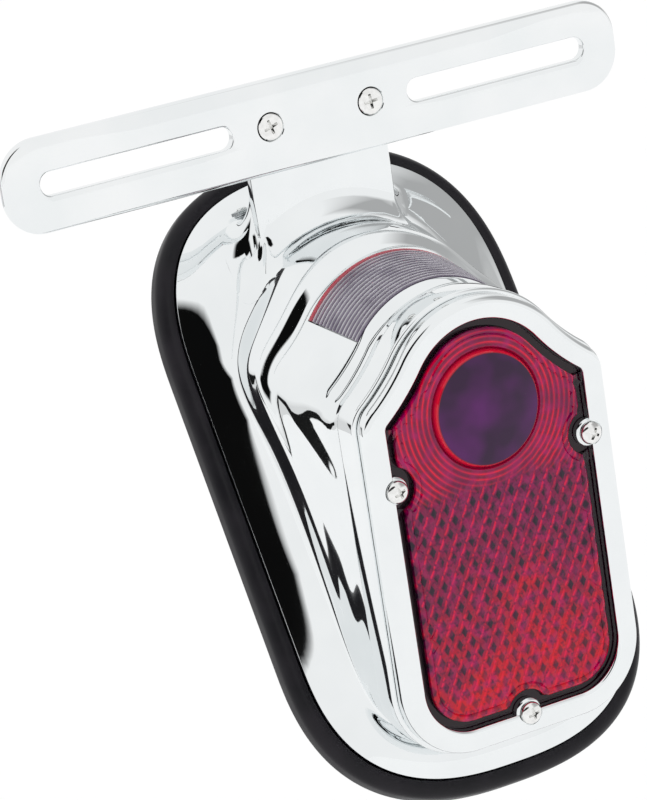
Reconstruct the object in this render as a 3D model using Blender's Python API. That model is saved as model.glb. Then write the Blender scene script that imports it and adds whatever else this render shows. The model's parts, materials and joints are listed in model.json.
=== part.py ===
"""Motorcycle tail light with a number-plate bracket, built as separate named pieces.

Frame: metres, +Z up, the way the light stands on the machine. The red lens is upright and
faces -Y. The rear fender falls away behind it, so the mounting face leans back by
MOUNT_TILT. The origin is the centre of that mounting face.

Two sets of coordinates are used below, both in millimetres:
  lens side  (x, depth, z)  depth runs back along +Y from the bezel's front face
  base side  (x, s, h)      s runs up the leaning fender face, h stands out from it
"""

import math

import bmesh
import bpy

# ---------------------------------------------------------------- driving dimensions, mm
MM = 0.001
MOUNT_TILT = math.radians(27.5)  # the fender face leans back from upright
CLEAR = 0.3  # air left between pieces that touch in the real light

LENS_FRONT_Y = -58.9  # front face of the bezel
LENS_AXIS_Z = 28.7  # height of the bullseye, the bulb and the barrel

# Tombstone outline of the lens opening
ARCH_RADIUS = 21.4
ARCH_RISE = 1.9  # arch centre above the bullseye's centre
HALF_WIDTH = 29.3
OPENING_DROP = 83.3  # bullseye's centre to the bottom edge
FLANK_RADIUS = 63.3  # hollow curve from the arch to the shoulder
SHOULDER_RADIUS = 2.0
CORNER_RADIUS = 13.3

# Bezel, lens and the seat they share
BEZEL_WIDTH = 6.2
BEZEL_DEPTH = 4.6
BEZEL_LAND = 2.8  # depth of the bezel's back face over the lens
LENS_LIP = 1.5  # how far the lens reaches under the bezel
LENS_FLANGE = (3.1, 5.1)
LENS_PANEL_FRONT = 1.0
BULLSEYE_RADIUS = 15.0
SEAL_INNER = 4.2
SEAL = (5.4, 6.9)
SEAT_DEPTH = 7.2
SEAT_WIDTH = 2.6
COLLAR_WIDTH = 7.3
COLLAR = (4.9, 13.5)
BODY_START = 14.3
BODY_WIDTH = 5.9
WALL = 2.5
FLARE_X = 0.10  # sideways growth of the body per mm of depth
FLARE_Z = 0.17  # upward growth of the barrel per mm of depth
STRAIGHT_PART = 0.58  # share of the body's depth before it flares into the flange

# Base flange, gasket and back plate
FLANGE_HALF_WIDTH = 48.0
FLANGE_HALF_HEIGHT = 85.5
FLANGE_H = (5.0, 7.5)
ROUND_TOP = 48.0  # length of the rounded part at the top
ROUND_BOTTOM = 43.0
ROUND_POWER = 2.6
GASKET_GROW = 5.0
GASKET_INNER = -9.0
PLATE_GROW = -9.3
PLATE_H = (0.0, 1.5)

# Plate-lamp window in the top of the barrel
WINDOW_DEPTH = (23.2, 46.1)
WINDOW_ANGLE = 38.0
WINDOW_THICK = 2.2

# Screws
BEZEL_SCREWS = ((-29.0, -14.4), (29.0, -14.4), (0.0, -83.6))
BEZEL_SCREW_HEAD = 3.05
SCREW_SHANK = 1.5
BASE_SCREWS = ((0.0, -69.0), (-30.0, 47.0), (30.0, 47.0))
MOUNT_NUTS = (58.0, -50.0)
RIVET_X = 24.5
RIVET_S = 33.0
GROMMET_S = -20.0

# Number-plate bracket
STRAP_LENGTH = 186.0
STRAP_HEIGHT = 25.4
STRAP_THICK = 3.0
STRAP_CORNER = 10.8
STRAP_FRONT_Y = LENS_FRONT_Y + 69.4
STRAP_Z = LENS_AXIS_Z + 69.2
SLOT = (26.5, 82.5)
SLOT_HEIGHT = 6.35
STRAP_SCREW_X = 15.2
STRAP_SCREW_HEAD = 3.6
BOSS_HALF_WIDTH = 21.0
BOSS_BACK_Y = 20.2

# Bulb and socket, by the Y of the socket's back end
SOCKET_BACK_Y = 6.5
SOCKET_RADIUS = 8.8

STEPS = {"arch": 8, "flank": 3, "shoulder": 3, "side": 7, "corner": 6, "foot": 3}


# ---------------------------------------------------------------- materials
def material(name, color, roughness, metallic=0.0, transmission=0.0):
    made = bpy.data.materials.new(name)
    made.use_nodes = True
    shader = made.node_tree.nodes["Principled BSDF"]
    shader.inputs["Base Color"].default_value = (*color, 1.0)
    shader.inputs["Roughness"].default_value = roughness
    shader.inputs["Metallic"].default_value = metallic
    shader.inputs["Transmission Weight"].default_value = transmission
    made.diffuse_color = (*color, 1.0)
    return made


def make_materials():
    return {
        "chrome": material("chrome_plated_zinc", (0.80, 0.81, 0.82), 0.06, 1.0),
        "chrome_steel": material("chrome_plated_steel", (0.82, 0.83, 0.84), 0.08, 1.0),
        "screw": material("nickel_plated_screw_steel", (0.72, 0.72, 0.70), 0.22, 1.0),
        "zinc": material("zinc_plated_steel", (0.62, 0.64, 0.66), 0.35, 1.0),
        "rubber": material("black_rubber", (0.02, 0.02, 0.022), 0.55),
        "seal": material("lens_seal_rubber", (0.05, 0.045, 0.04), 0.7),
        "red": material("red_acrylic", (0.55, 0.01, 0.03), 0.08, 0.0, 0.7),
        "clear": material("clear_acrylic", (0.93, 0.93, 0.95), 0.08, 0.0, 0.9),
        "brass": material("bulb_brass", (0.75, 0.58, 0.28), 0.25, 1.0),
        "glass": material("bulb_glass_clear", (0.95, 0.96, 0.96), 0.02, 0.0, 0.95),
        "wire": material("filament_tungsten", (0.35, 0.34, 0.33), 0.4, 1.0),
        "phenolic": material("brown_phenolic", (0.16, 0.07, 0.03), 0.5),
        "spring": material("spring_steel", (0.45, 0.45, 0.46), 0.3, 1.0),
        "solder": material("solder_tin", (0.66, 0.66, 0.68), 0.35, 1.0),
    }


# ---------------------------------------------------------------- mesh helpers
def add_object(name, verts, faces, mat, smooth_angle=30.0):
    """One mesh object from millimetre points, with its normals facing out."""
    mesh = bpy.data.meshes.new(name)
    mesh.from_pydata([tuple(c * MM for c in v) for v in verts], [], faces)
    form = bmesh.new()
    form.from_mesh(mesh)
    bmesh.ops.recalc_face_normals(form, faces=form.faces)
    form.to_mesh(mesh)
    form.free()
    mesh.polygons.foreach_set("use_smooth", [True] * len(mesh.polygons))
    mesh.set_sharp_from_angle(angle=math.radians(smooth_angle))
    made = bpy.data.objects.new(name, mesh)
    bpy.context.scene.collection.objects.link(made)
    if mat is not None:
        mesh.materials.append(mat)
    return made


def ring_faces(count, size, closed):
    """Quads between rings of the same size; closed joins the last ring to the first."""
    faces = []
    for k in range(count if closed else count - 1):
        a = k * size
        b = ((k + 1) % count) * size
        for i in range(size):
            j = (i + 1) % size
            faces.append((a + i, a + j, b + j, b + i))
    return faces


def loft(name, rings, mat, closed=False, smooth_angle=30.0):
    """A solid through rings of points: a tube loop if closed, else capped at both ends."""
    size = len(rings[0])
    faces = ring_faces(len(rings), size, closed)
    if not closed:
        faces.append(tuple(range(size)))
        faces.append(tuple((len(rings) - 1) * size + i for i in range(size)))
    return add_object(name, [p for ring in rings for p in ring], faces, mat, smooth_angle)


def on_y(x, z):
    """A turning axis along Y through (x, z): maps (radius, angle, along)."""
    return lambda r, t, a: (x + r * math.cos(t), a, z + r * math.sin(t))


def on_base(x0, s0):
    """A turning axis square to the fender face through (x0, s0)."""
    return lambda r, t, a: base_point(x0 + r * math.cos(t), s0 + r * math.sin(t), a)


def turned(name, profile, place, mat, sides=24, closed=False, phase=0.0):
    """A turned piece. The profile is (radius, along) pairs, closed for a piece with a bore."""
    rings = []
    for radius, along in profile:
        turn = (phase + 2 * math.pi * i / sides for i in range(sides))
        rings.append([place(radius, t, along) for t in turn])
    return loft(name, rings, mat, closed)


def helper(made):
    made.hide_render = True
    made.display_type = "WIRE"
    return made


def combine(target, tool, operation):
    helper(tool)
    change = target.modifiers.new(f"{operation.lower()}_{tool.name}", "BOOLEAN")
    change.operation = operation
    change.solver = "EXACT"
    change.object = tool


def cut(target, tool):
    combine(target, tool, "DIFFERENCE")


def fuse(target, tool):
    combine(target, tool, "UNION")


# ---------------------------------------------------------------- coordinates
def lens_point(x, depth, z):
    return (x, LENS_FRONT_Y + depth, LENS_AXIS_Z + z)


def base_point(x, s, h):
    lean, rise = math.sin(MOUNT_TILT), math.cos(MOUNT_TILT)
    return (x, s * lean - h * rise, s * rise + h * lean)


def to_base(y, z):
    """(s, h) of a point of the frame."""
    lean, rise = math.sin(MOUNT_TILT), math.cos(MOUNT_TILT)
    return (y * lean + z * rise, -y * rise + z * lean)


def base_y(z, h):
    """Y where the plane at height h over the fender face passes z."""
    return z * math.tan(MOUNT_TILT) - h / math.cos(MOUNT_TILT)


# ---------------------------------------------------------------- outlines
def arc(cx, cz, radius, start, end, steps, inward=False):
    """(x, z, nx, nz) along an arc, leaving out its first point. n is the outline's normal."""
    out = []
    for k in range(1, steps + 1):
        t = math.radians(start + (end - start) * k / steps)
        sign = -1.0 if inward else 1.0
        side = (sign * math.cos(t), sign * math.sin(t))
        out.append((cx + radius * math.cos(t), cz + radius * math.sin(t), *side))
    return out


def half_opening():
    """Right half of the tombstone outline, from the top to the bottom, with normals."""
    corner_x = HALF_WIDTH - SHOULDER_RADIUS
    far = ARCH_RADIUS + FLANK_RADIUS
    near = FLANK_RADIUS + SHOULDER_RADIUS
    # The hollow flank's centre lies far from the arch's centre and near from the shoulder's.
    corner_z = 1.6
    gap_x, gap_z = corner_x, corner_z - ARCH_RISE
    span = math.hypot(gap_x, gap_z)
    along = (far**2 - near**2 + span**2) / (2 * span)
    off = math.sqrt(far**2 - along**2)
    flank_x = (along * gap_x - off * gap_z) / span
    flank_z = ARCH_RISE + (along * gap_z + off * gap_x) / span
    leave = math.degrees(math.atan2(flank_z - ARCH_RISE, flank_x))
    reach = math.degrees(math.atan2(flank_z - corner_z, flank_x - corner_x))
    side_end = CORNER_RADIUS - OPENING_DROP
    points = [(0.0, ARCH_RISE + ARCH_RADIUS, 0.0, 1.0)]
    points += arc(0.0, ARCH_RISE, ARCH_RADIUS, 90.0, leave, STEPS["arch"])
    points += arc(flank_x, flank_z, FLANK_RADIUS, 180 + leave, 180 + reach, STEPS["flank"], True)
    points += arc(corner_x, corner_z, SHOULDER_RADIUS, reach, 0.0, STEPS["shoulder"])
    for k in range(1, STEPS["side"] + 1):
        points.append((HALF_WIDTH, corner_z + (side_end - corner_z) * k / STEPS["side"], 1.0, 0.0))
    corner_in = HALF_WIDTH - CORNER_RADIUS
    points += arc(corner_in, side_end, CORNER_RADIUS, 0.0, -90.0, STEPS["corner"])
    for k in range(1, STEPS["foot"] + 1):
        points.append((corner_in * (1 - k / STEPS["foot"]), -OPENING_DROP, 0.0, -1.0))
    return points


def both_halves(half):
    """The whole outline from a right half that starts and ends on the centre line."""
    left = [(-p[0], p[1], -p[2], p[3]) for p in half[-2:0:-1]]
    return half + left


def opening_ring(grow, depth):
    """The tombstone outline grown by some width, at a depth behind the bezel's face."""
    ring = []
    for x, z, nx, nz in both_halves(half_opening()):
        ring.append(lens_point(x + grow * nx, depth, z + grow * nz))
    return ring


def half_flange():
    """Right half of the flange outline (x, s), matched point for point to the opening."""
    power = 2.0 / ROUND_POWER
    top = FLANGE_HALF_HEIGHT - ROUND_TOP
    bottom = ROUND_BOTTOM - FLANGE_HALF_HEIGHT
    shoulder_s = 31.0
    head = STEPS["arch"] + STEPS["flank"] + STEPS["shoulder"]
    tail = STEPS["corner"] + STEPS["foot"]
    points = []
    for k in range(head + 1):
        share = k / head / 0.85
        t = math.radians(90.0 * (1 - min(share, 1.0)))
        x = FLANGE_HALF_WIDTH * math.cos(t) ** power
        s = top + ROUND_TOP * max(math.sin(t), 0.0) ** power
        if share > 1.0:
            s = top + (shoulder_s - top) * (k / head - 0.85) / 0.15
        points.append((0.0 if k == 0 else x, s))
    for k in range(1, STEPS["side"] + 1):
        points.append((FLANGE_HALF_WIDTH, shoulder_s + (bottom - shoulder_s) * k / STEPS["side"]))
    for k in range(1, tail + 1):
        t = math.radians(90.0 * k / tail)
        x = FLANGE_HALF_WIDTH * max(math.cos(t), 0.0) ** power
        points.append((0.0 if k == tail else x, bottom - ROUND_BOTTOM * math.sin(t) ** power))
    return points


def flange_outline(grow):
    """Whole flange outline (x, s), grown by some width along its own normals."""
    half = half_flange()
    whole = half + [(-x, s) for x, s in half[-2:0:-1]]
    count = len(whole)
    out = []
    for i, (x, s) in enumerate(whole):
        before, after = whole[i - 1], whole[(i + 1) % count]
        dx, ds = after[0] - before[0], after[1] - before[1]
        size = math.hypot(dx, ds)
        out.append((x - grow * ds / size, s + grow * dx / size))
    return out


def flange_ring(grow, h):
    return [base_point(x, s, h) for x, s in flange_outline(grow)]


# ---------------------------------------------------------------- housing
def body_rings(inset):
    """Rings of the body's wall from the collar back to the flange, moved in by inset."""
    rows = [[] for _ in range(10)]
    flange_grow = 0.0 if inset == 0.0 else -5.0
    flange_h = FLANGE_H[1] if inset == 0.0 else FLANGE_H[0]
    outline = both_halves(half_opening())
    edge = flange_outline(flange_grow)
    for (x, z, nx, nz), (edge_x, edge_s) in zip(outline, edge):
        width = BODY_WIDTH - inset
        start = lens_point(x + width * nx, BODY_START, z + width * nz)
        run = base_y(start[2], flange_h) - start[1]
        slope = (FLARE_X * nx, 1.0, FLARE_Z * nz if nz > 0 else 0.0)
        near = min(WINDOW_DEPTH[0] - BODY_START, 0.19 * run)
        far = min(WINDOW_DEPTH[1] - BODY_START, 0.53 * run)
        straight = STRAIGHT_PART * run
        for row, length in enumerate((0.0, near, far, straight)):
            rows[row].append(tuple(c + length * d for c, d in zip(start, slope)))
        p0 = rows[3][-1]
        rest = 0.5 * (run - straight)
        p1 = tuple(c + rest * d for c, d in zip(p0, slope))
        foot_s, _ = to_base(base_y(p0[2], flange_h), p0[2])
        foot_x = p0[0]
        p2 = base_point(foot_x + 0.4 * (edge_x - foot_x), foot_s + 0.4 * (edge_s - foot_s), flange_h)
        p3 = base_point(edge_x, edge_s, flange_h)
        for step in range(1, 7):
            t = step / 6
            weights = ((1 - t) ** 3, 3 * t * (1 - t) ** 2, 3 * t * t * (1 - t), t**3)
            corners = (p0, p1, p2, p3)
            rows[3 + step].append(
                tuple(sum(w * p[axis] for w, p in zip(weights, corners)) for axis in range(3))
            )
    return rows


def rounded_box_ring(half_x, y0, y1, z, radius):
    """A rounded rectangle across X and Y at one height."""
    ring = []
    for cx, cy, start in (
        (half_x - radius, y1 - radius, 0),
        (radius - half_x, y1 - radius, 90),
        (radius - half_x, y0 + radius, 180),
        (half_x - radius, y0 + radius, 270),
    ):
        for k in range(4):
            t = math.radians(start + 30 * k)
            ring.append((cx + radius * math.cos(t), cy + radius * math.sin(t), z))
    return ring


def make_boss():
    """The lug that rises from the barrel to carry the plate bracket."""
    front = STRAP_FRONT_Y + STRAP_THICK + CLEAR
    sections = (
        # z, front y, back y, half width
        (63.5, front - 20.0, 19.0, BOSS_HALF_WIDTH + 1.0),
        (66.5, front - 17.5, 24.0, BOSS_HALF_WIDTH + 1.0),
        (69.5, front - 10.0, 28.0, BOSS_HALF_WIDTH + 0.6),
        (72.5, front - 5.0, 30.0, BOSS_HALF_WIDTH + 0.3),
        (76.0, front - 1.8, 31.0, BOSS_HALF_WIDTH),
        (80.0, front - 0.2, 28.5, BOSS_HALF_WIDTH),
        (84.0, front, 24.0, BOSS_HALF_WIDTH),
        (88.0, front, BOSS_BACK_Y, BOSS_HALF_WIDTH),
        (107.0, front, BOSS_BACK_Y, BOSS_HALF_WIDTH),
        (109.0, front + 0.8, BOSS_BACK_Y - 0.8, BOSS_HALF_WIDTH - 1.2),
    )
    rings = [rounded_box_ring(w, y0, y1, z, 2.4) for z, y0, y1, w in sections]
    return loft("boss_tool", rings, None)


def window_patch(name, grow, inset, mat=None):
    """A piece of the barrel's wall over the window, between two depths into the wall."""
    first = math.radians(WINDOW_ANGLE) - grow / 28.0
    columns = 16
    rings = []
    for k in range(columns + 1):
        t = first + (math.pi - 2 * first) * k / columns
        ring = []
        for depth, deep in (
            (WINDOW_DEPTH[0] - grow, inset[0]),
            (WINDOW_DEPTH[1] + grow, inset[0]),
            (WINDOW_DEPTH[1] + grow, inset[1]),
            (WINDOW_DEPTH[0] - grow, inset[1]),
        ):
            back = depth - BODY_START
            radius = ARCH_RADIUS + BODY_WIDTH - deep
            x = (radius + FLARE_X * back) * math.cos(t)
            z = ARCH_RISE + (radius + FLARE_Z * back) * math.sin(t)
            ring.append(lens_point(x, depth, z))
        rings.append(ring)
    return loft(name, rings, mat)


def make_housing(mats):
    inner = body_rings(WALL)
    rings = [
        opening_ring(SEAT_WIDTH, COLLAR[0]),
        opening_ring(COLLAR_WIDTH - 0.5, COLLAR[0]),
        opening_ring(COLLAR_WIDTH, COLLAR[0] + 0.6),
        opening_ring(COLLAR_WIDTH, COLLAR[1] - 0.6),
        opening_ring(COLLAR_WIDTH - 0.7, COLLAR[1]),
    ]
    rings += body_rings(0.0)
    rings += [flange_ring(0.0, FLANGE_H[0] + 0.5), flange_ring(-0.5, FLANGE_H[0])]
    rings += inner[::-1][:-1]
    rings += [
        opening_ring(SEAT_WIDTH, 12.4),
        opening_ring(-SEAL_INNER, 9.8),
        opening_ring(-SEAL_INNER, SEAT_DEPTH),
        opening_ring(SEAT_WIDTH, SEAT_DEPTH),
    ]
    housing = loft("housing", rings, mats["chrome"], closed=True)
    fuse(housing, make_boss())
    for i, (x, z) in enumerate(BEZEL_SCREWS):
        profile = ((4.3, LENS_FRONT_Y + SEAT_DEPTH + 0.5), (4.3, LENS_FRONT_Y + 15.0))
        post = turned(f"screw_post_{i}", profile, on_y(x * 0.985, LENS_AXIS_Z + z), None)
        fuse(housing, post)
    for i, (x, s) in enumerate(BASE_SCREWS):
        post = turned(f"base_post_{i}", ((4.5, 1.9), (4.5, 12.5)), on_base(x, s), None)
        fuse(housing, post)
    for i, (x, z) in enumerate(BEZEL_SCREWS):
        profile = ((1.8, LENS_FRONT_Y + 6.0), (1.8, LENS_FRONT_Y + 14.2))
        cut(housing, turned(f"screw_hole_{i}", profile, on_y(x, LENS_AXIS_Z + z), None, 16))
    for i, (x, s) in enumerate(BASE_SCREWS):
        cut(housing, turned(f"base_hole_{i}", ((1.8, 1.0), (1.8, 10.5)), on_base(x, s), None, 16))
    for side in (-1, 1):
        hole = on_y(side * STRAP_SCREW_X, STRAP_Z)
        cut(housing, turned(f"boss_hole_{side}", ((2.4, 10.0), (2.4, 24.0)), hole, None, 16))
    cut(housing, window_patch("window_cut", 0.3, (-4.0, 5.5)))
    return housing


# ---------------------------------------------------------------- base pieces
def make_gasket(mats):
    outer = GASKET_GROW
    profile = (
        (GASKET_INNER, 0.0),
        (outer - 0.9, 0.0),
        (outer, 0.9),
        (outer, 4.4),
        (outer - 0.8, 5.9),
        (outer - 2.4, 6.8),
        (1.0, 6.6),
        (CLEAR, 5.6),
        (CLEAR, FLANGE_H[0] - CLEAR),
        (GASKET_INNER, FLANGE_H[0] - CLEAR),
    )
    rings = [flange_ring(grow, h) for grow, h in profile]
    return loft("base_gasket", rings, mats["rubber"], closed=True)


def make_back_plate(mats):
    rings = [flange_ring(PLATE_GROW, PLATE_H[0]), flange_ring(PLATE_GROW, PLATE_H[1])]
    plate = loft("back_plate", rings, mats["zinc"])
    holes = [(0.0, s, 3.3) for s in MOUNT_NUTS]
    holes += [(side * RIVET_X, RIVET_S, 1.9) for side in (-1, 1)]
    holes.append((0.0, GROMMET_S, 5.0))
    for i, (x, s, radius) in enumerate(holes):
        cut(plate, turned(f"plate_hole_{i}", ((radius, -1.0), (radius, 3.0)), on_base(x, s), None))
    for i, (x, s) in enumerate(BASE_SCREWS):
        profile = ((4.35, -0.7), (3.6, 0.0), (1.9, 1.6), (1.9, 3.0))
        cut(plate, turned(f"plate_sink_{i}", profile, on_base(x, s), None))
    return plate


def make_base_screws(mats):
    names = ("base_screw_bottom", "base_screw_left", "base_screw_right")
    for name, (x, s) in zip(names, BASE_SCREWS):
        profile = ((3.2, 0.1), (SCREW_SHANK, 1.7), (SCREW_SHANK, 9.6), (1.1, 10.1))
        screw = turned(name, profile, on_base(x, s), mats["zinc"], 20)
        slot = ((-0.4, -2.6), (0.4, -2.6), (0.4, 2.6), (-0.4, 2.6))
        rings = [[base_point(x + dx, s + ds, h) for dx, ds in slot] for h in (-0.5, 0.7)]
        cut(screw, loft(f"{name}_slot", rings, None))


def make_mount_nuts(mats):
    for name, s in zip(("mount_nut_upper", "mount_nut_lower"), MOUNT_NUTS):
        nut = turned(name, ((6.2, 1.8), (6.2, 6.0), (5.6, 6.5)), on_base(0.0, s), mats["zinc"], 6)
        cut(nut, turned(f"{name}_thread", ((3.1, 0.5), (3.1, 8.0)), on_base(0.0, s), None, 20))


def make_grommet(mats):
    profile = ((2.5, 0.2), (4.7, 0.2), (4.7, 1.8), (6.6, 1.8), (6.6, 2.9), (5.9, 3.5), (2.5, 3.5))
    turned("wire_grommet", profile, on_base(0.0, GROMMET_S), mats["rubber"], 24, closed=True)


# ---------------------------------------------------------------- lens end
def make_bezel(mats):
    profile = (
        (0.0, BEZEL_LAND),
        (0.0, 1.2),
        (0.5, 0.4),
        (1.6, 0.0),
        (4.0, 0.0),
        (5.4, 0.5),
        (BEZEL_WIDTH, 1.8),
        (BEZEL_WIDTH, BEZEL_DEPTH),
        (BEZEL_WIDTH - 1.2, BEZEL_DEPTH),
        (BEZEL_WIDTH - 1.2, BEZEL_LAND),
    )
    rings = [opening_ring(grow, depth) for grow, depth in profile]
    bezel = loft("bezel", rings, mats["chrome"], closed=True)
    for i, (x, z) in enumerate(BEZEL_SCREWS):
        place = on_y(x, LENS_AXIS_Z + z)
        ear = ((3.7, LENS_FRONT_Y + 0.6), (3.7, LENS_FRONT_Y + BEZEL_LAND))
        fuse(bezel, turned(f"ear_{i}", ear, place, None))
        # A flat round seat under each screw head
        seat = ((3.4, LENS_FRONT_Y - 1.0), (3.4, LENS_FRONT_Y + 0.6))
        cut(bezel, turned(f"ear_seat_{i}", seat, place, None))
        hole = ((1.9, LENS_FRONT_Y - 1.0), (1.9, LENS_FRONT_Y + 6.0))
        cut(bezel, turned(f"ear_hole_{i}", hole, place, None, 16))


def make_lens(mats):
    rings = [opening_ring(LENS_LIP, depth) for depth in LENS_FLANGE]
    lens = loft("red_lens", rings, mats["red"])
    panel_front = LENS_PANEL_FRONT
    rings = [
        opening_ring(-1.2, LENS_FLANGE[0] + 0.8),
        opening_ring(-1.2, panel_front + 0.7),
        opening_ring(-2.0, panel_front),
    ]
    panel = loft("lens_panel_tool", rings, None)
    for i, (x, z) in enumerate(BEZEL_SCREWS):
        place = on_y(x, LENS_AXIS_Z + z)
        notch = ((5.8, LENS_FRONT_Y - 1.0), (5.8, LENS_FRONT_Y + 4.6))
        cut(panel, turned(f"lens_notch_{i}", notch, place, None, 20))
    fuse(lens, panel)
    dome = (
        (BULLSEYE_RADIUS + 0.8, LENS_FRONT_Y + 2.0),
        (BULLSEYE_RADIUS + 0.8, LENS_FRONT_Y + 0.4),
        (BULLSEYE_RADIUS - 0.2, LENS_FRONT_Y - 0.3),
        (11.0, LENS_FRONT_Y - 1.3),
        (5.5, LENS_FRONT_Y - 1.9),
    )
    fuse(lens, turned("bullseye_tool", dome, on_y(0.0, LENS_AXIS_Z), None, 40))
    for i, (x, z) in enumerate(BEZEL_SCREWS):
        hole = ((1.9, LENS_FRONT_Y + 1.0), (1.9, LENS_FRONT_Y + 8.0))
        cut(lens, turned(f"lens_hole_{i}", hole, on_y(x, LENS_AXIS_Z + z), None, 16))


def make_lens_seal(mats):
    corners = ((LENS_LIP, SEAL[0]), (LENS_LIP, SEAL[1]), (-SEAL_INNER, SEAL[1]), (-SEAL_INNER, SEAL[0]))
    rings = [opening_ring(grow, depth) for grow, depth in corners]
    seal = loft("lens_seal", rings, mats["seal"], closed=True)
    for i, (x, z) in enumerate(BEZEL_SCREWS):
        hole = ((1.9, LENS_FRONT_Y + 4.0), (1.9, LENS_FRONT_Y + 8.0))
        cut(seal, turned(f"seal_hole_{i}", hole, on_y(x, LENS_AXIS_Z + z), None, 16))


def cross_recess(name, x, z, y0, y1, reach, width=0.9):
    """Two crossed bars that cut a Phillips recess."""
    bars = []
    for turn in (0, 1):
        half = (reach, width / 2) if turn == 0 else (width / 2, reach)
        corners = ((-half[0], -half[1]), (half[0], -half[1]), half, (-half[0], half[1]))
        rings = [[(x + dx, y, z + dz) for dx, dz in corners] for y in (y0, y1)]
        bars.append(loft(f"{name}_bar_{turn}", rings, None))
    return bars


def make_bezel_screws(mats):
    names = ("bezel_screw_left", "bezel_screw_right", "bezel_screw_bottom")
    for name, (x, z) in zip(names, BEZEL_SCREWS):
        y = LENS_FRONT_Y
        profile = (
            (1.2, y - 1.9),
            (2.2, y - 1.55),
            (2.8, y - 0.9),
            (BEZEL_SCREW_HEAD, y - 0.2),
            (BEZEL_SCREW_HEAD, y + 0.3),
            (SCREW_SHANK, y + 0.3),
            (SCREW_SHANK, y + 13.2),
            (1.1, y + 13.8),
        )
        height = LENS_AXIS_Z + z
        screw = turned(name, profile, on_y(x, height), mats["screw"], 24)
        for bar in cross_recess(name, x, height, y - 2.5, y - 0.7, 1.6):
            cut(screw, bar)


def make_window(mats):
    window_patch("plate_window", 0.0, (-0.3, WINDOW_THICK - 0.3), mats["clear"])
    frame = window_patch("window_retainer", 3.0, (WALL + 0.45, WALL + 1.45), mats["zinc"])
    cut(frame, window_patch("retainer_cut", -3.0, (-2.0, 8.0)))


# ---------------------------------------------------------------- plate bracket
def strap_ring(shrink, y):
    """The bracket's rounded outline, drawn in by shrink, at one Y."""
    radius = STRAP_CORNER - shrink
    half_x = STRAP_LENGTH / 2 - STRAP_CORNER
    half_z = STRAP_HEIGHT / 2 - STRAP_CORNER
    ring = []
    for sx, sz, start in ((1, 1, 0), (-1, 1, 90), (-1, -1, 180), (1, -1, 270)):
        for k in range(7):
            t = math.radians(start + 15 * k)
            x = sx * half_x + radius * math.cos(t)
            ring.append((x, y, STRAP_Z + sz * half_z + radius * math.sin(t)))
    return ring


def slot_ring(side, y):
    radius = SLOT_HEIGHT / 2
    ring = []
    for centre, start in ((SLOT[1] - radius, -90), (SLOT[0] + radius, 90)):
        for k in range(9):
            t = math.radians(start + 22.5 * k)
            x = centre + radius * math.cos(t)
            ring.append((side * x, y, STRAP_Z + radius * math.sin(t)))
    return ring


def make_plate_bracket(mats):
    front, back = STRAP_FRONT_Y, STRAP_FRONT_Y + STRAP_THICK
    profile = ((0.8, front), (0.2, front + 0.3), (0.0, front + 0.9))
    profile += ((0.0, back - 0.9), (0.2, back - 0.3), (0.8, back))
    strap = loft("plate_bracket", [strap_ring(d, y) for d, y in profile], mats["chrome_steel"])
    for side in (-1, 1):
        rings = [slot_ring(side, front - 2.0), slot_ring(side, back + 2.0)]
        cut(strap, loft(f"slot_{side}", rings, None))
        sink = (
            (STRAP_SCREW_HEAD + 1.3, front - 1.0),
            (STRAP_SCREW_HEAD + CLEAR, front),
            (2.3, front + 1.9),
            (2.3, back + 1.0),
        )
        cut(strap, turned(f"sink_{side}", sink, on_y(side * STRAP_SCREW_X, STRAP_Z), None))


def make_bracket_fixings(mats):
    front = STRAP_FRONT_Y
    for word, side in (("left", -1), ("right", 1)):
        x = side * STRAP_SCREW_X
        profile = (
            (STRAP_SCREW_HEAD, front + 0.1),
            (STRAP_SCREW_HEAD, front + 0.2),
            (1.95, front + 1.9),
            (1.95, 26.0),
            (1.5, 26.6),
        )
        name = f"bracket_screw_{word}"
        screw = turned(name, profile, on_y(x, STRAP_Z), mats["screw"], 24)
        for bar in cross_recess(name, x, STRAP_Z, front - 1.0, front + 1.3, 2.0, 0.8):
            cut(screw, bar)
        y0 = BOSS_BACK_Y + CLEAR
        washer = ((2.35, y0), (3.9, y0), (3.9, y0 + 1.0), (2.35, y0 + 1.0))
        turned(f"lock_washer_{word}", washer, on_y(x, STRAP_Z), mats["zinc"], 24, closed=True)
        y1 = y0 + 1.0 + CLEAR
        nut = turned(
            f"hex_nut_{word}",
            ((4.2, y1), (4.6, y1 + 0.4), (4.6, y1 + 2.7), (4.2, y1 + 3.1)),
            on_y(x, STRAP_Z),
            mats["zinc"],
            6,
        )
        thread = ((2.3, y1 - 1.0), (2.3, y1 + 4.0))
        cut(nut, turned(f"nut_thread_{word}", thread, on_y(x, STRAP_Z), None, 20))


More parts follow.
